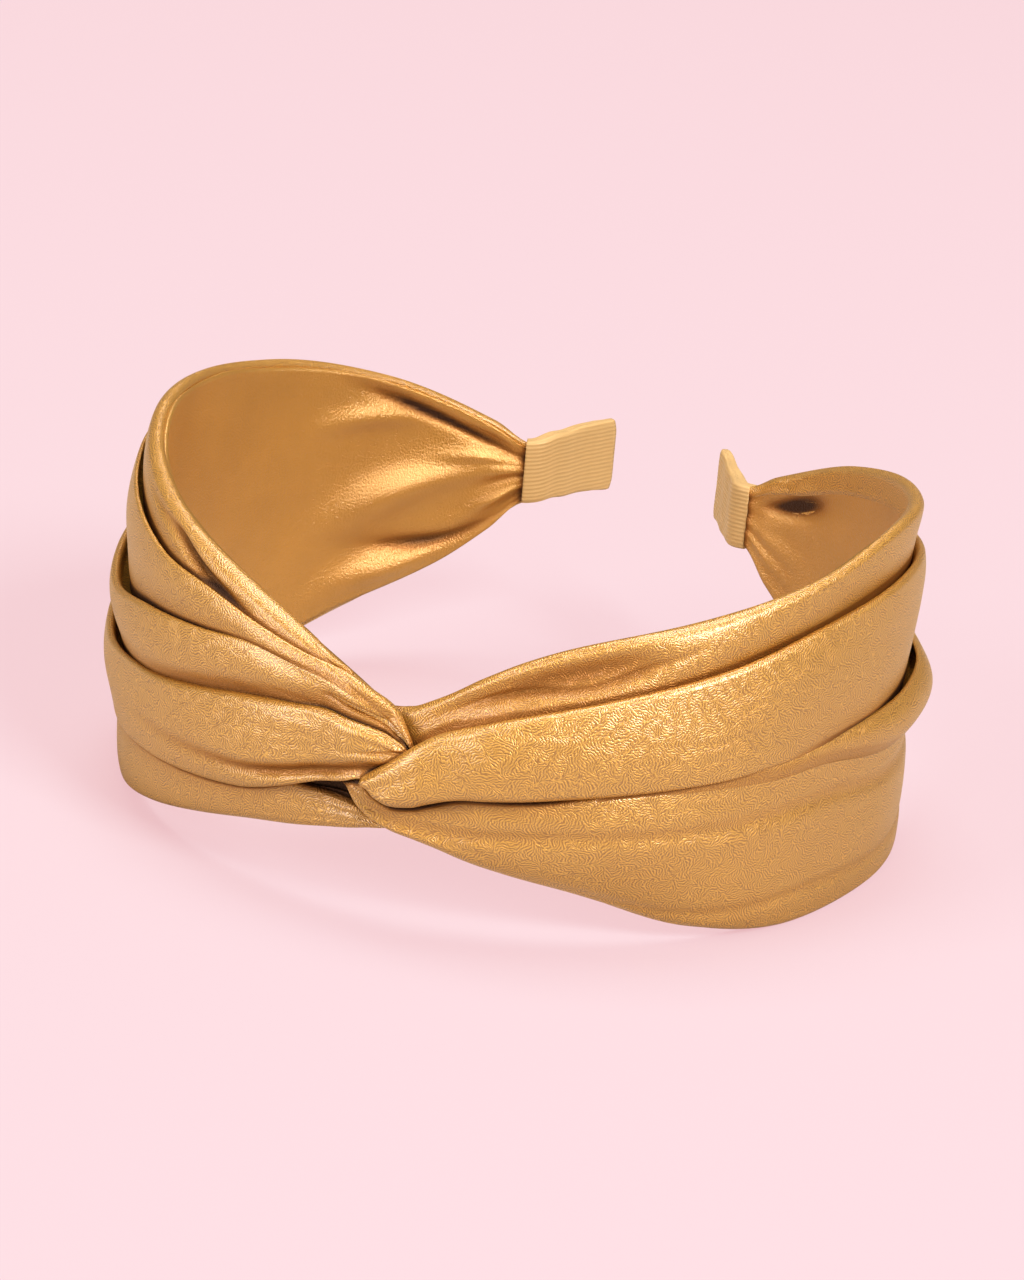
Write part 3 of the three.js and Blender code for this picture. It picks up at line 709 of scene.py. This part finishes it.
def left_bundle(shell):
    """Four pleats from the top edge to the lip over the flap."""
    along = stations(LEFT_END)
    line = lines(LEFT_COLUMNS, LEFT_LINES, along)
    step = read_steps(LEFT_STEPS, along)
    span = line["top"] - line["lip"]
    borders = [line["top"], *(line["top"] - line[name] * span for name in LEFT_FOLDS), line["lip"]]
    middle = borders[3]
    rim = np.full_like(along, sizes().rim_radius)
    over = lines(RIGHT_COLUMNS, RIGHT_LINES, -along)["main"]
    lay_pleats(
        shell, -1, along, borders,
        steps=[None, *(step[name] for name in LEFT_FOLDS), None],
        lifts=[line["lift"] + smooth(along, RIM_START, RIM_START + 5) - 1, *[line["lift"]] * 3],
        inner=mix(LEFT_KNOT_FACE, INNER_FACE, smooth(along, -1, 1.8)),
        seed=1.3,
        lips={
            0: rim,
            1: mix(rim, step_lip(step["rim"], FIRM_LIP), smooth(along, 6, 12)),
            3: step_lip(step["middle"], FIRM_LIP) + step["soft"],
            4: mix(0.8, 1.2, smooth(along, 10, 40)),
        },
        # Each groove's last value is the painted shade it takes per mm of depth
        grooves={
            0: [(mix(borders[0], borders[1], line["dimple"]), step["dimple"], 0.8, 0.55)],
            2: [
                (line["top"] - line["crease"] * span, step["crease"], 0.4, 0.8),
                (middle + 0.8, step["soft"], 1.7, 0.35),
                (middle - 2.5, 2 * np.clip(1.3 - step["middle"], 0, 0.6), 2.0, 0.0),
            ],
            3: [
                (line["top"] - line["sub"] * span, step["sub"], 0.3, 0.6),
                (line["top"] - line["valley"] * span, step["valley"], 1.2, 0.4),
            ],
        },
        grain=(line["top"], line["lip"], gathers(along, 0.35, (6, 45), 0.45)),
        starts=(RIM_START, LEFT_END, LEFT_END, LEFT_END),
        # Painted shadow on the bundle just above the main fold's edge, near the knot
        shades=[(np.where(along < 2.9, over + 0.05, BELOW_ALL), np.full_like(along, 0.65), 1)],
    )


def left_flap(shell):
    """The flat cloth under the bundle's lip."""
    size = sizes()
    along = stations(LEFT_FLAP_END)
    line = lines(LEFT_COLUMNS, LEFT_LINES, along)
    drop = follow(STEP_STATIONS, LEFT_STEPS["lip"], along)
    rim = np.full_like(along, size.rim_radius)
    pleat(
        shell, -1, along,
        edges=(line["flap"], line["bottom"]),
        out=(0.7 * drop, 0.1 * drop),
        radius=(0.6 * rim, rim),
        lap=(size.pleat_lap, size.rim_turn_in),
        inner=np.full_like(along, INNER_FACE),
        seed=2.9,
        puff=np.full_like(along, 0.3),
        grain=(line["flap"], line["bottom"], gathers(along, 0.2, (6, 30), 0.3)),
        # Painted shade on the flap's top, under the bundle's lip
        painted_shade_lines=[(np.minimum(line["lip"], line["flap"]), np.clip(-0.36 * drop, 0, 1), -1)],
    )


def left_eye(shell):
    """Two patches, one over the other, in painted shade, that close the eye between the bundle and the flap.
    """
    along = np.arange(*EYE_ALONG)
    line = lines(LEFT_COLUMNS, LEFT_LINES, along)
    low = line["flap"] - 0.5
    lid = line["lip"] + 1.5
    brim = line["flap"] + 0.7 * smooth(13.5 - along, 0, 6)

    def level(value):
        return np.full_like(along, value)

    patches = (
        # Both patches are painted dark, a sheet of painted shade where the eye holds only shade
        (lid, EYE_BACK, EYE_BACK, 3.4, [(lid, level(1.5), 1), (low, level(1.5), -1)]),
        (brim, EYE_BRIM, EYE_LOW, 3.7, [(line["flap"] + 0.15, level(0.9), 1), (brim, level(0.55), -1)]),
    )
    for edge, out_top, out_low, seed, painted_shade_lines in patches:
        pleat(
            shell, -1, along,
            edges=(edge, low),
            out=(level(out_top), level(out_low)),
            radius=(level(EYE_HALF), level(EYE_HALF)),
            lap=(2, 2),
            inner=level(-0.2),
            seed=seed,
            puff=level(0.0),
            painted_shade_lines=painted_shade_lines,
            ripples=0.1,
        )


def right_wrap():
    """The right half: a flap behind the knot, the main fold that wraps over it, and the cloth below."""
    shell = Shell()
    right_flap(shell)
    right_folds(shell)
    return shell


def right_flap(shell):
    """The cloth over the main fold, with a soft dent and a crease beside the knot."""
    size = sizes()
    along = stations(RIGHT_FLAP_END)
    line = lines(RIGHT_COLUMNS, RIGHT_LINES, along)
    step = read_steps(RIGHT_STEPS, along)
    rim = np.full_like(along, size.rim_radius)
    under = line["main"] - np.minimum(4.0, 0.4 * (line["main"] - line["groove"]))
    over = lines(LEFT_COLUMNS, LEFT_LINES, -along)["top"]
    pleat(
        shell, 1, along,
        edges=(line["top"], under),
        out=(np.zeros_like(along), -STEP_OVER * step["main"]),
        radius=(rim, 0.5 * rim),
        lap=(size.rim_turn_in, size.pleat_lap),
        inner=np.full_like(along, INNER_FACE),
        seed=4.1,
        puff=mix(0.4, 0.15, smooth(along, 40, 80)),
        # The dent and the crease also take painted shade by their depth
        grooves=[
            (mix(line["top"], line["main"], 0.5), step["dent"], 2.5, 0.2),
            (mix(line["top"], line["main"], line["crease"]), step["crease"], 0.6, 0.3),
        ],
        grain=(line["top"], under, gathers(along, 0.12, (6, 40), 0.4)),
        # Painted shade over the main fold's top edge, and painted shadow beside the bundle's edge near the
        # knot
        painted_shade_lines=[
            (line["main"], np.clip(0.24 * step["main"], 0, 0.55), 1),
            (np.where(along < 5.2, over - 1.7, BELOW_ALL), np.full_like(along, 0.35), 1),
        ],
    )


def right_folds(shell):
    """The main fold, the roll that opens from its lower edge at the side, and the cloth below."""
    along = stations(RIGHT_END)
    line = lines(RIGHT_COLUMNS, RIGHT_LINES, along)
    step = read_steps(RIGHT_STEPS, along)
    pocket = line["main"] - line["pocket"] * (line["main"] - line["groove"])
    depth = line["groove"] - line["bottom"]
    fold = line["lift"] + 0.5 * step["main"] * (1 - smooth(along, 60, HALF_LENGTH))
    lay_pleats(
        shell, 1, along, [line["main"], pocket, line["groove"], line["bottom"]],
        steps=[None, step["pocket"], step["groove"], None],
        lifts=[fold, line["lift"], line["loop"]],
        inner=mix(RIGHT_KNOT_FACE, INNER_FACE, smooth(along, 0, 3)),
        seed=5.2,
        lips={
            0: mix(1.3, 0.9, smooth(along, 6, 30)),
            1: mix(1.5, 0.8, smooth(along, 25, 50)),
            2: mix(1.2, 0.7, smooth(along, 25, 50)),
            3: np.full_like(along, sizes().rim_radius),
        },
        # The tuck and the hem also take painted shade by their depth
        grooves={
            2: [
                (line["groove"] - line["tuck"] * depth, step["tuck"], 1.2, 0.15),
                (line["groove"] - line["hem"] * depth, step["hem"], 0.9, 0.15),
            ],
        },
        grain=(line["main"], line["bottom"], gathers(along, 0.28, (4, 35), 0.4)),
        starts=(RIGHT_FLAP_END, ROLL_START, RIGHT_END),
        puffs={1: step["bulge"]},
    )


# Soft folds of the lining: share of its width from the top 125 mm and 160 mm from the knot, how wide the
# fold is, where along the band it is fullest and how long, and how far it stands in on each half; where
# it sinks instead it takes painted shade
LINING_FOLDS = (
    {"near": -0.04, "far": 0.11, "width": 0.035, "at": 158, "length": 13, "left": -1.4, "right": 0.0},
    {"near": 0.24, "far": 0.12, "width": 0.05, "at": 145, "length": 9, "left": 1.2, "right": 0.0},
    {"near": 0.71, "far": 0.48, "width": 0.10, "at": 152, "length": 13, "left": 2.4, "right": 0.0},
    {"near": 0.50, "far": 0.33, "width": 0.05, "at": 165, "length": 6, "left": 0.8, "right": 0.0},
    {"near": 0.60, "far": 0.83, "width": 0.045, "at": 158, "length": 12, "left": -0.9, "right": 0.0},
    {"near": 0.87, "far": 0.90, "width": 0.07, "at": 150, "length": 10, "left": 1.8, "right": 0.0},
    {"near": 0.70, "far": 0.70, "width": 0.05, "at": 170, "length": 4, "left": 0.9, "right": 0.0},
    {"near": 0.06, "far": 0.20, "width": 0.07, "at": 164, "length": 7, "left": 0.0, "right": -1.6},
)

# The places along the band that near and far stand for
FOLDS_NEAR, FOLDS_FAR = 125.0, 160.0
# How far the lining reaches under each tip, and its points along, over the front and over the back
LINING_TUCK = 0.6
LINING_POINTS = (381, 65, 11)
# Puckers beside the tips: from where to where they grow, their depth, and the share left on the right half
PUCKER_ALONG, PUCKER_DEPTH, RIGHT_PUCKER = (158, 174), 1.3, 0.4
# How uneven the lining is, how far its folds stray, its least thickness, and where painted shade begins
# beside a tip and how dark it gets
LINING_UNEVEN, FOLD_STRAY, LEAST_LINING = 0.35, 0.04, 0.2
TIP_DARK_START, TIP_DARK = 173.8, 0.8


def lining():
    """Smooth inner band, gathered into soft folds towards the tips."""
    shell = Shell()
    size = sizes()
    end = HALF_LENGTH + LINING_TUCK
    points, front, back = LINING_POINTS
    along = np.linspace(-end, end, points)[:, None]
    reach = np.abs(along)
    edge = lines(EDGE_COLUMNS, EDGES, reach)
    high = edge["top"] - size.rim_turn_in + 0.1
    low = edge["bottom"] + 0.5 * size.rim_turn_in
    share = np.linspace(0, 1, front)[None, :]
    z = mix(high, low, share)
    across = np.clip(16 * share * (1 - share), 0, 1)
    sway = share + FOLD_STRAY * ripple(along, share * 3, (0.035, 1.0), 3.1)
    inside = -size.lining_gap - size.lining_thickness
    painted_shade = 0 * sway
    for row in LINING_FOLDS:
        stands = np.where(along < 0, row["left"], row["right"]) * size.gather_height
        between = np.clip((reach - FOLDS_NEAR) / (FOLDS_FAR - FOLDS_NEAR), -0.5, 1.4)
        centre = mix(row["near"], row["far"], between)
        away = ((sway - centre) / row["width"]) ** 2 + ((reach - row["at"]) / row["length"]) ** 2
        inside = inside - stands * np.exp(-away)
        # Painted shade where a fold sinks into a pocket
        painted_shade = painted_shade + np.maximum(-stands, 0) * np.exp(-1.5 * away)
    pucker = smooth(reach, *PUCKER_ALONG) * ripple(along, share * 9, (0.08, 1.0), 8.4)
    pucker = pucker * np.where(along < 0, 1.0, RIGHT_PUCKER)
    soft = LINING_UNEVEN * ripple(along, z, (0.03, 0.05), 12.5)
    inside = inside - (PUCKER_DEPTH * pucker + soft) * across
    inside = np.minimum(inside, -size.lining_gap - LEAST_LINING)
    z_back = mix(high, low, np.linspace(1, 0, back)[None, :])
    outs = np.concatenate([inside, np.full((points, back), -size.lining_gap)], axis=1)
    heights = np.concatenate([z, z_back], axis=1)
    # Painted shade beside the tips, where the ribbon grips the lining, and in the puckers
    painted_shade = painted_shade + TIP_DARK * smooth(reach, TIP_DARK_START, HALF_LENGTH)
    painted_shade = painted_shade + TIP_DARK * np.maximum(-pucker, 0)
    dark = np.concatenate([np.broadcast_to(painted_shade, inside.shape), np.zeros((points, back))], axis=1)
    spots = np.stack(np.broadcast_arrays(along, heights), axis=-1)
    shell.loft(place(1, along, outs, heights), spots, dark)
    return shell


def noise_row(values, seed):
    """Soft noise for a row of numbers."""
    return np.array([noise.noise(Vector((v * 0.35, seed * 2.3, 9.1))) for v in values])


def tip(side):
    """Ribbon-covered end that bends away from the head, its edges a little uneven."""
    shell = Shell()
    size = sizes()
    x, y, heading = (float(v) for v in plan(HALF_LENGTH - size.tip_cover))
    top, bottom = EDGES[-1][1:3]
    count, around = TIP_POINTS
    stride = size.tip_length / count
    angle = np.linspace(0, 2 * math.pi, around, endpoint=False)
    face, brim = np.cos(angle), np.sin(angle)
    rings, spots = [], []
    for i in range(count + 1):
        reach = i * stride
        turned = float(smooth(reach, size.tip_cover, size.tip_cover + size.tip_bend))
        turn = heading - size.tip_flare * turned
        thick = mix(size.tip_root, size.tip_end, float(smooth(reach, 0, size.tip_length))) / 2
        thick *= 1 - 0.25 * float(smooth(reach, size.tip_length - 0.8, size.tip_length))
        uneven = TIP_EDGE_UNEVEN * noise.noise(Vector((reach * 0.2, side * 3.0, 1.7)))
        width = mix(size.tip_width, size.tip_end_width, reach / size.tip_length)
        up = np.sign(brim) * np.abs(brim) ** TIP_EDGE_POWER * width / 2 + uneven
        wave = TIP_FACE_UNEVEN * noise.noise(Vector((reach * 0.2, 4.4, side)))
        out = np.sign(face) * np.abs(face) ** TIP_FACE_POWER * thick
        out = out + wave + size.root_lean + TIP_OUT
        rise = TIP_RISE[side] * float(smooth(reach, 0, 6))
        near_end = float(smooth(reach, 0.6 * size.tip_length, size.tip_length))
        skew = TIP_END_UNEVEN * near_end * noise_row(up, side)
        ring = [
            side * (x + math.sin(turn) * out + math.cos(turn) * skew),
            y - math.cos(turn) * out + math.sin(turn) * skew,
            (top + bottom) / 2 + rise + up,
        ]
        rings.append(np.stack(ring, axis=-1) * MM)
        spots.append(np.stack([np.full(around, reach), up + 40 * (face > 0)], axis=-1))
        x += stride * math.cos(turn)
        y += stride * math.sin(turn)
    shell.loft(np.array(rings), np.array(spots))
    return shell


def dress(piece, node, material):
    """Put the material on a piece and let it stand for its solid."""
    piece.data.materials.append(material)
    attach(piece, "root")
    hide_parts(node)


class Nodes:
    """A material's node tree, with short calls to add and join nodes."""

    def __init__(self, tree):
        self.tree = tree

    def add(self, kind, inputs=None, **settings):
        """Add a node, set its own settings, and its sockets by name: a number, a colour or another socket."""
        node = self.tree.nodes.new(kind)
        for name, value in settings.items():
            setattr(node, name, value)
        for name, value in (inputs or {}).items():
            socket = node.inputs[name]
            if isinstance(value, bpy.types.NodeSocket):
                self.tree.links.new(value, socket)
            else:
                socket.default_value = value
        return node


def new_material(name):
    """Empty node material with its output."""
    material = bpy.data.materials.new(name)
    material.use_nodes = True
    material.node_tree.nodes.clear()
    nodes = Nodes(material.node_tree)
    output = nodes.add("ShaderNodeOutputMaterial")
    return material, nodes, output


def mix_colours(nodes, share, low, high):
    """Colour that goes from low to high with a share from 0 to 1."""
    node = nodes.add("ShaderNodeMix", data_type="RGBA")
    factor = next(i for i in node.inputs if i.identifier == "Factor_Float")
    first = next(i for i in node.inputs if i.identifier == "A_Color")
    second = next(i for i in node.inputs if i.identifier == "B_Color")
    nodes.tree.links.new(share, factor)
    for socket, value in ((first, low), (second, high)):
        if isinstance(value, bpy.types.NodeSocket):
            nodes.tree.links.new(value, socket)
        else:
            socket.default_value = value
    return next(o for o in node.outputs if o.identifier == "Result_Color")


def node_group(name, inputs, outputs):
    """Empty shader node group with the named sockets."""
    tree = bpy.data.node_groups.new(name, "ShaderNodeTree")
    for in_out, sockets in (("INPUT", inputs), ("OUTPUT", outputs)):
        for socket, kind in sockets.items():
            tree.interface.new_socket(socket, in_out=in_out, socket_type=kind)
    nodes = Nodes(tree)
    return nodes, nodes.add("NodeGroupInput").outputs, nodes.add("NodeGroupOutput").inputs


def drifting_tone():
    """Group: two tones that drift into each other over the cloth."""
    nodes, given, made = node_group(
        "drifting_tone", {"First": COLOUR, "Second": COLOUR, "Scale": VALUE}, {"Color": COLOUR}
    )
    spot = nodes.add("ShaderNodeUVMap", uv_map="cloth").outputs["UV"]
    patch = nodes.add("ShaderNodeTexNoise", {"Vector": spot, "Scale": given["Scale"], "Detail": 3.0})
    tone = mix_colours(nodes, patch.outputs["Fac"], given["First"], given["Second"])
    nodes.tree.links.new(tone, made["Color"])
    return nodes.tree


def fold_shade():
    """Group: painted shade on a tone, brown beside a fold and near black deep in it, with a coat that thins
    there.
    """
    nodes, given, made = node_group(
        "fold_shade", {"Color": COLOUR, "Shade": COLOUR, "Deep": COLOUR}, {"Color": COLOUR, "Gloss": VALUE}
    )
    painted_shade = nodes.add("ShaderNodeAttribute", attribute_name="painted_shade").outputs["Fac"]
    beside = nodes.add("ShaderNodeMapRange", {"Value": painted_shade, "From Max": 0.45})
    within = nodes.add("ShaderNodeMapRange", {"Value": painted_shade, "From Min": 0.3})
    gloss = nodes.add("ShaderNodeMapRange", {"Value": painted_shade, "From Max": 0.5, "To Min": 0.5, "To Max": 0.0})
    tone = mix_colours(nodes, beside.outputs["Result"], given["Color"], given["Shade"])
    tone = mix_colours(nodes, within.outputs["Result"], tone, given["Deep"])
    nodes.tree.links.new(tone, made["Color"])
    nodes.tree.links.new(gloss.outputs["Result"], made["Gloss"])
    return nodes.tree


def shared_group(make):
    """The node group of that name, made the first time it is asked for."""
    return bpy.data.node_groups.get(make.__name__) or make()


def cloth_material():
    """Gold satin with a fine embossed crinkle, and painted shade in the crinkle's grooves and in its folds.
    """
    material, nodes, output = new_material("pleated_satin")
    spot = nodes.add("ShaderNodeUVMap", uv_map="cloth").outputs["UV"]
    stray = nodes.add("ShaderNodeTexNoise", {"Vector": spot, "Scale": 0.7, "Detail": 1.0})
    drift = nodes.add("ShaderNodeVectorMath", operation="MULTIPLY_ADD")
    nodes.tree.links.new(stray.outputs["Color"], drift.inputs[0])
    drift.inputs[1].default_value = (0.7, 0.7, 0.0)
    nodes.tree.links.new(spot, drift.inputs[2])
    swirl = nodes.add("ShaderNodeTexNoise", {"Vector": spot, "Scale": 0.22, "Detail": 0.0})
    heading = nodes.add("ShaderNodeMapRange", {"Value": swirl.outputs["Fac"], "To Max": 12.0})
    worms = nodes.add(
        "ShaderNodeTexGabor",
        {"Vector": drift.outputs["Vector"], "Scale": 0.86, "Frequency": 2.7, "Anisotropy": 0.6},
    )
    orientation = next(i for i in worms.inputs if i.identifier == "Orientation 2D")
    nodes.tree.links.new(heading.outputs["Result"], orientation)
    ridge = nodes.add(
        "ShaderNodeMapRange",
        {"Value": worms.outputs["Value"], "From Min": 0.34, "From Max": 0.66},
        interpolation_type="SMOOTHSTEP",
    ).outputs["Result"]
    tone = nodes.add(
        "ShaderNodeGroup",
        {"First": looks().gold_mid, "Second": looks().gold, "Scale": 0.07},
        node_tree=shared_group(drifting_tone),
    ).outputs["Color"]
    # Painted shade: the crinkle's grooves take the darker tone, its ridges the lighter one
    tone = mix_colours(nodes, ridge, looks().gold_deep, tone)
    # Painted shade: brown beside the folds and near black deep in them
    fold = nodes.add(
        "ShaderNodeGroup",
        {"Color": tone, "Shade": looks().gold_shade, "Deep": looks().gold_fold},
        node_tree=shared_group(fold_shade),
    )
    crinkle = {"Height": ridge, "Distance": CRINKLE_DEPTH}
    bump = nodes.add("ShaderNodeBump", crinkle | {"Strength": 0.55}).outputs["Normal"]
    sheen_bump = nodes.add("ShaderNodeBump", crinkle | {"Strength": 0.34}).outputs["Normal"]
    shine = nodes.add("ShaderNodeMapRange", {"Value": ridge, "To Min": 0.55, "To Max": 0.47})
    shader = nodes.add(
        "ShaderNodeBsdfPrincipled",
        {
            "Base Color": fold.outputs["Color"],
            "Metallic": 0.65,
            "IOR": 1.5,
            "Roughness": shine.outputs["Result"],
            "Coat Weight": fold.outputs["Gloss"],
            "Coat Roughness": 0.35,
            "Coat IOR": 2.5,
            "Coat Tint": (1.0, 0.95, 0.84, 1.0),
            "Coat Normal": sheen_bump,
            "Normal": bump,
        },
    )
    nodes.tree.links.new(shader.outputs["BSDF"], output.inputs["Surface"])
    return material


def lining_material():
    """Smooth bronze satin with a fine thread grain that breaks up its shine, and painted shade in its folds
    and beside the tips.
    """
    material, nodes, output = new_material("lining_satin")
    spot = nodes.add("ShaderNodeUVMap", uv_map="cloth").outputs["UV"]
    thread = nodes.add(
        "ShaderNodeTexNoise", {"Vector": spot, "Scale": 2.3, "Detail": 3.0, "Roughness": 0.65}
    ).outputs["Fac"]
    tone = nodes.add(
        "ShaderNodeGroup",
        {"First": looks().satin_deep, "Second": looks().satin, "Scale": 0.08},
        node_tree=shared_group(drifting_tone),
    ).outputs["Color"]
    # Painted shade: brown and near black in the lining's pockets, puckers and beside the tips
    fold = nodes.add(
        "ShaderNodeGroup",
        {"Color": tone, "Shade": looks().gold_shade, "Deep": looks().gold_fold},
        node_tree=shared_group(fold_shade),
    )
    grain = {"Height": thread, "Strength": 0.8, "Distance": THREAD_DEPTH}
    bump = nodes.add("ShaderNodeBump", grain).outputs["Normal"]
    shine = nodes.add(
        "ShaderNodeMapRange",
        {"Value": thread, "From Min": 0.3, "From Max": 0.7, "To Min": 0.41, "To Max": 0.3},
    )
    shader = nodes.add(
        "ShaderNodeBsdfPrincipled",
        {
            "Base Color": fold.outputs["Color"],
            "Metallic": 0.6,
            "IOR": 1.5,
            "Roughness": shine.outputs["Result"],
            "Coat Weight": fold.outputs["Gloss"],
            "Coat Roughness": 0.26,
            "Coat IOR": 2.0,
            "Coat Normal": bump,
            "Normal": bump,
        },
    )
    nodes.tree.links.new(shader.outputs["BSDF"], output.inputs["Surface"])
    return material


def ribbon_material():
    """Matt tan ribbon with fine ribs along its length."""
    material, nodes, output = new_material("ribbon")
    spot = nodes.add("ShaderNodeUVMap", uv_map="cloth").outputs["UV"]
    ribs = nodes.add(
        "ShaderNodeTexWave",
        {"Vector": spot, "Scale": 0.42, "Distortion": 1.6, "Detail": 2.0, "Detail Scale": 0.4},
        bands_direction="Y",
    ).outputs["Fac"]
    light = nodes.add(
        "ShaderNodeGroup",
        {"First": looks().ribbon_deep, "Second": looks().ribbon, "Scale": 0.2},
        node_tree=shared_group(drifting_tone),
    ).outputs["Color"]
    light = mix_colours(nodes, ribs, light, looks().ribbon)
    tone = mix_colours(nodes, ribs, looks().ribbon_deep, light)
    weave = {"Height": ribs, "Strength": 0.3, "Distance": RIB_DEPTH}
    bump = nodes.add("ShaderNodeBump", weave).outputs["Normal"]
    shine = nodes.add("ShaderNodeMapRange", {"Value": ribs, "To Min": 0.62, "To Max": 0.5})
    shader = nodes.add(
        "ShaderNodeBsdfPrincipled",
        {"Base Color": tone, "Metallic": 0.1, "Roughness": shine.outputs["Result"], "Normal": bump},
    )
    nodes.tree.links.new(shader.outputs["BSDF"], output.inputs["Surface"])
    return material


def floor_material():
    """Plain pink floor: the camera sees its colour, and other rays meet a neutral one."""
    material, nodes, output = new_material("floor")
    matt = nodes.add("ShaderNodeBsdfDiffuse", {"Color": looks().floor})
    glow = nodes.add("ShaderNodeEmission", {"Color": looks().glow, "Strength": 1.0})
    grey = nodes.add("ShaderNodeBsdfDiffuse", {"Color": looks().bounce})
    seen = nodes.add("ShaderNodeAddShader")
    nodes.tree.links.new(matt.outputs["BSDF"], seen.inputs[0])
    nodes.tree.links.new(glow.outputs["Emission"], seen.inputs[1])
    path = nodes.add("ShaderNodeLightPath")
    pick = nodes.add("ShaderNodeMixShader", {"Fac": path.outputs["Is Camera Ray"]})
    nodes.tree.links.new(grey.outputs["BSDF"], pick.inputs[1])
    nodes.tree.links.new(seen.outputs["Shader"], pick.inputs[2])
    nodes.tree.links.new(pick.outputs["Shader"], output.inputs["Surface"])
    return material


def add_area_light(name, place_m, width_m, power, colour):
    """Soft square light that faces the middle of the band."""
    data = bpy.data.lights.new(name, "AREA")
    data.size = width_m
    data.energy = power
    data.color = colour
    light = bpy.data.objects.new(name, data)
    light.location = place_m
    light.rotation_euler = (Vector(LIGHT_AIM) - Vector(place_m)).to_track_quat("-Z", "Y").to_euler()
    bpy.context.scene.collection.objects.link(light)


def add_camera():
    """Camera at the photo's place, turn and lens."""
    azimuth, elevation, roll = (math.radians(a) for a in (CAMERA_AZIMUTH, CAMERA_ELEVATION, CAMERA_ROLL))
    back = Vector((
        math.sin(azimuth) * math.cos(elevation),
        -math.cos(azimuth) * math.cos(elevation),
        math.sin(elevation),
    ))
    right = Vector((math.cos(azimuth), math.sin(azimuth), 0))
    up = back.cross(right)
    right, up = right * math.cos(roll) + up * math.sin(roll), up * math.cos(roll) - right * math.sin(roll)
    data = bpy.data.cameras.new("photo_camera")
    data.lens = CAMERA_LENS
    width, height = IMAGE_SIZE
    data.shift_x = (width / 2 - PRINCIPAL_POINT[0]) / height
    data.shift_y = (PRINCIPAL_POINT[1] - height / 2) / height
    data.clip_start = 0.05
    data.clip_end = 50
    camera = bpy.data.objects.new("photo_camera", data)
    turn = Matrix((right, up, back)).transposed().to_4x4()
    camera.matrix_world = Matrix.Translation(Vector(CAMERA_PLACE) * MM) @ turn
    bpy.context.scene.collection.objects.link(camera)
    bpy.context.scene.camera = camera


class HEADBAND_OT_wraps(bpy.types.Operator):
    """Build both pleated halves"""

    bl_idname = "headband.wraps"
    bl_label = "Pleated halves"

    def execute(self, context):
        material = cloth_material()
        for name, make in (("left_wrap", left_wrap), ("right_wrap", right_wrap)):
            piece = make().build(name + "_cloth")
            dress(piece, name, material)
        return {"FINISHED"}


class HEADBAND_OT_lining(bpy.types.Operator):
    """Build the lining"""

    bl_idname = "headband.lining"
    bl_label = "Lining"

    def execute(self, context):
        piece = lining().build("lining_cloth")
        dress(piece, "lining", lining_material())
        return {"FINISHED"}


class HEADBAND_OT_tips(bpy.types.Operator):
    """Build the ribbon tips"""

    bl_idname = "headband.tips"
    bl_label = "Ribbon tips"

    def execute(self, context):
        material = ribbon_material()
        for name, side in (("left_tip", -1), ("right_tip", 1)):
            piece = tip(side).build(name + "_ribbon")
            dress(piece, name, material)
        return {"FINISHED"}


class HEADBAND_OT_stage(bpy.types.Operator):
    """Add the floor, the lights and the camera"""

    bl_idname = "headband.stage"
    bl_label = "Stage"

    def execute(self, context):
        bpy.ops.mesh.primitive_plane_add(size=FLOOR_SIZE)
        floor = context.active_object
        floor.name = "floor"
        floor.data.materials.append(floor_material())
        world = bpy.data.worlds.new("studio")
        world.use_nodes = True
        background = world.node_tree.nodes["Background"]
        background.inputs["Color"].default_value = WORLD_COLOUR
        background.inputs["Strength"].default_value = WORLD_STRENGTH
        context.scene.world = world
        for name, (place_m, width_m, power, colour) in LIGHTS.items():
            add_area_light(name, place_m, width_m, power, colour)
        context.scene.view_settings.view_transform = "Standard"
        add_camera()
        return {"FINISHED"}


class HEADBAND_PT_panel(bpy.types.Panel):
    """Sizes, colours and operators of the headband"""

    bl_idname = "HEADBAND_PT_panel"
    bl_label = "Headband"
    bl_space_type = "VIEW_3D"
    bl_region_type = "UI"
    bl_category = "Headband"

    def draw(self, context):
        for group in (context.scene.headband_sizes, context.scene.headband_looks):
            for name in group.__annotations__:
                self.layout.prop(group, name)
        for operator in OPERATORS:
            self.layout.operator(operator.bl_idname)


OPERATORS = (HEADBAND_OT_wraps, HEADBAND_OT_lining, HEADBAND_OT_tips, HEADBAND_OT_stage)
CLASSES = (BandSizes, BandLooks, *OPERATORS, HEADBAND_PT_panel)


def register():
    """Register the classes and the scene's properties."""
    for cls in CLASSES:
        bpy.utils.register_class(cls)
    bpy.types.Scene.headband_sizes = bpy.props.PointerProperty(type=BandSizes)
    bpy.types.Scene.headband_looks = bpy.props.PointerProperty(type=BandLooks)


def unregister():
    """Remove the properties and the classes."""
    del bpy.types.Scene.headband_looks
    del bpy.types.Scene.headband_sizes
    for cls in reversed(CLASSES):
        bpy.utils.unregister_class(cls)


def main():
    """Build the headband and its stage."""
    register()
    bpy.ops.object.select_all(action="DESELECT")
    bpy.ops.headband.wraps()
    bpy.ops.headband.lining()
    bpy.ops.headband.tips()
    bpy.ops.headband.stage()


if __name__ == "__main__":
    main()
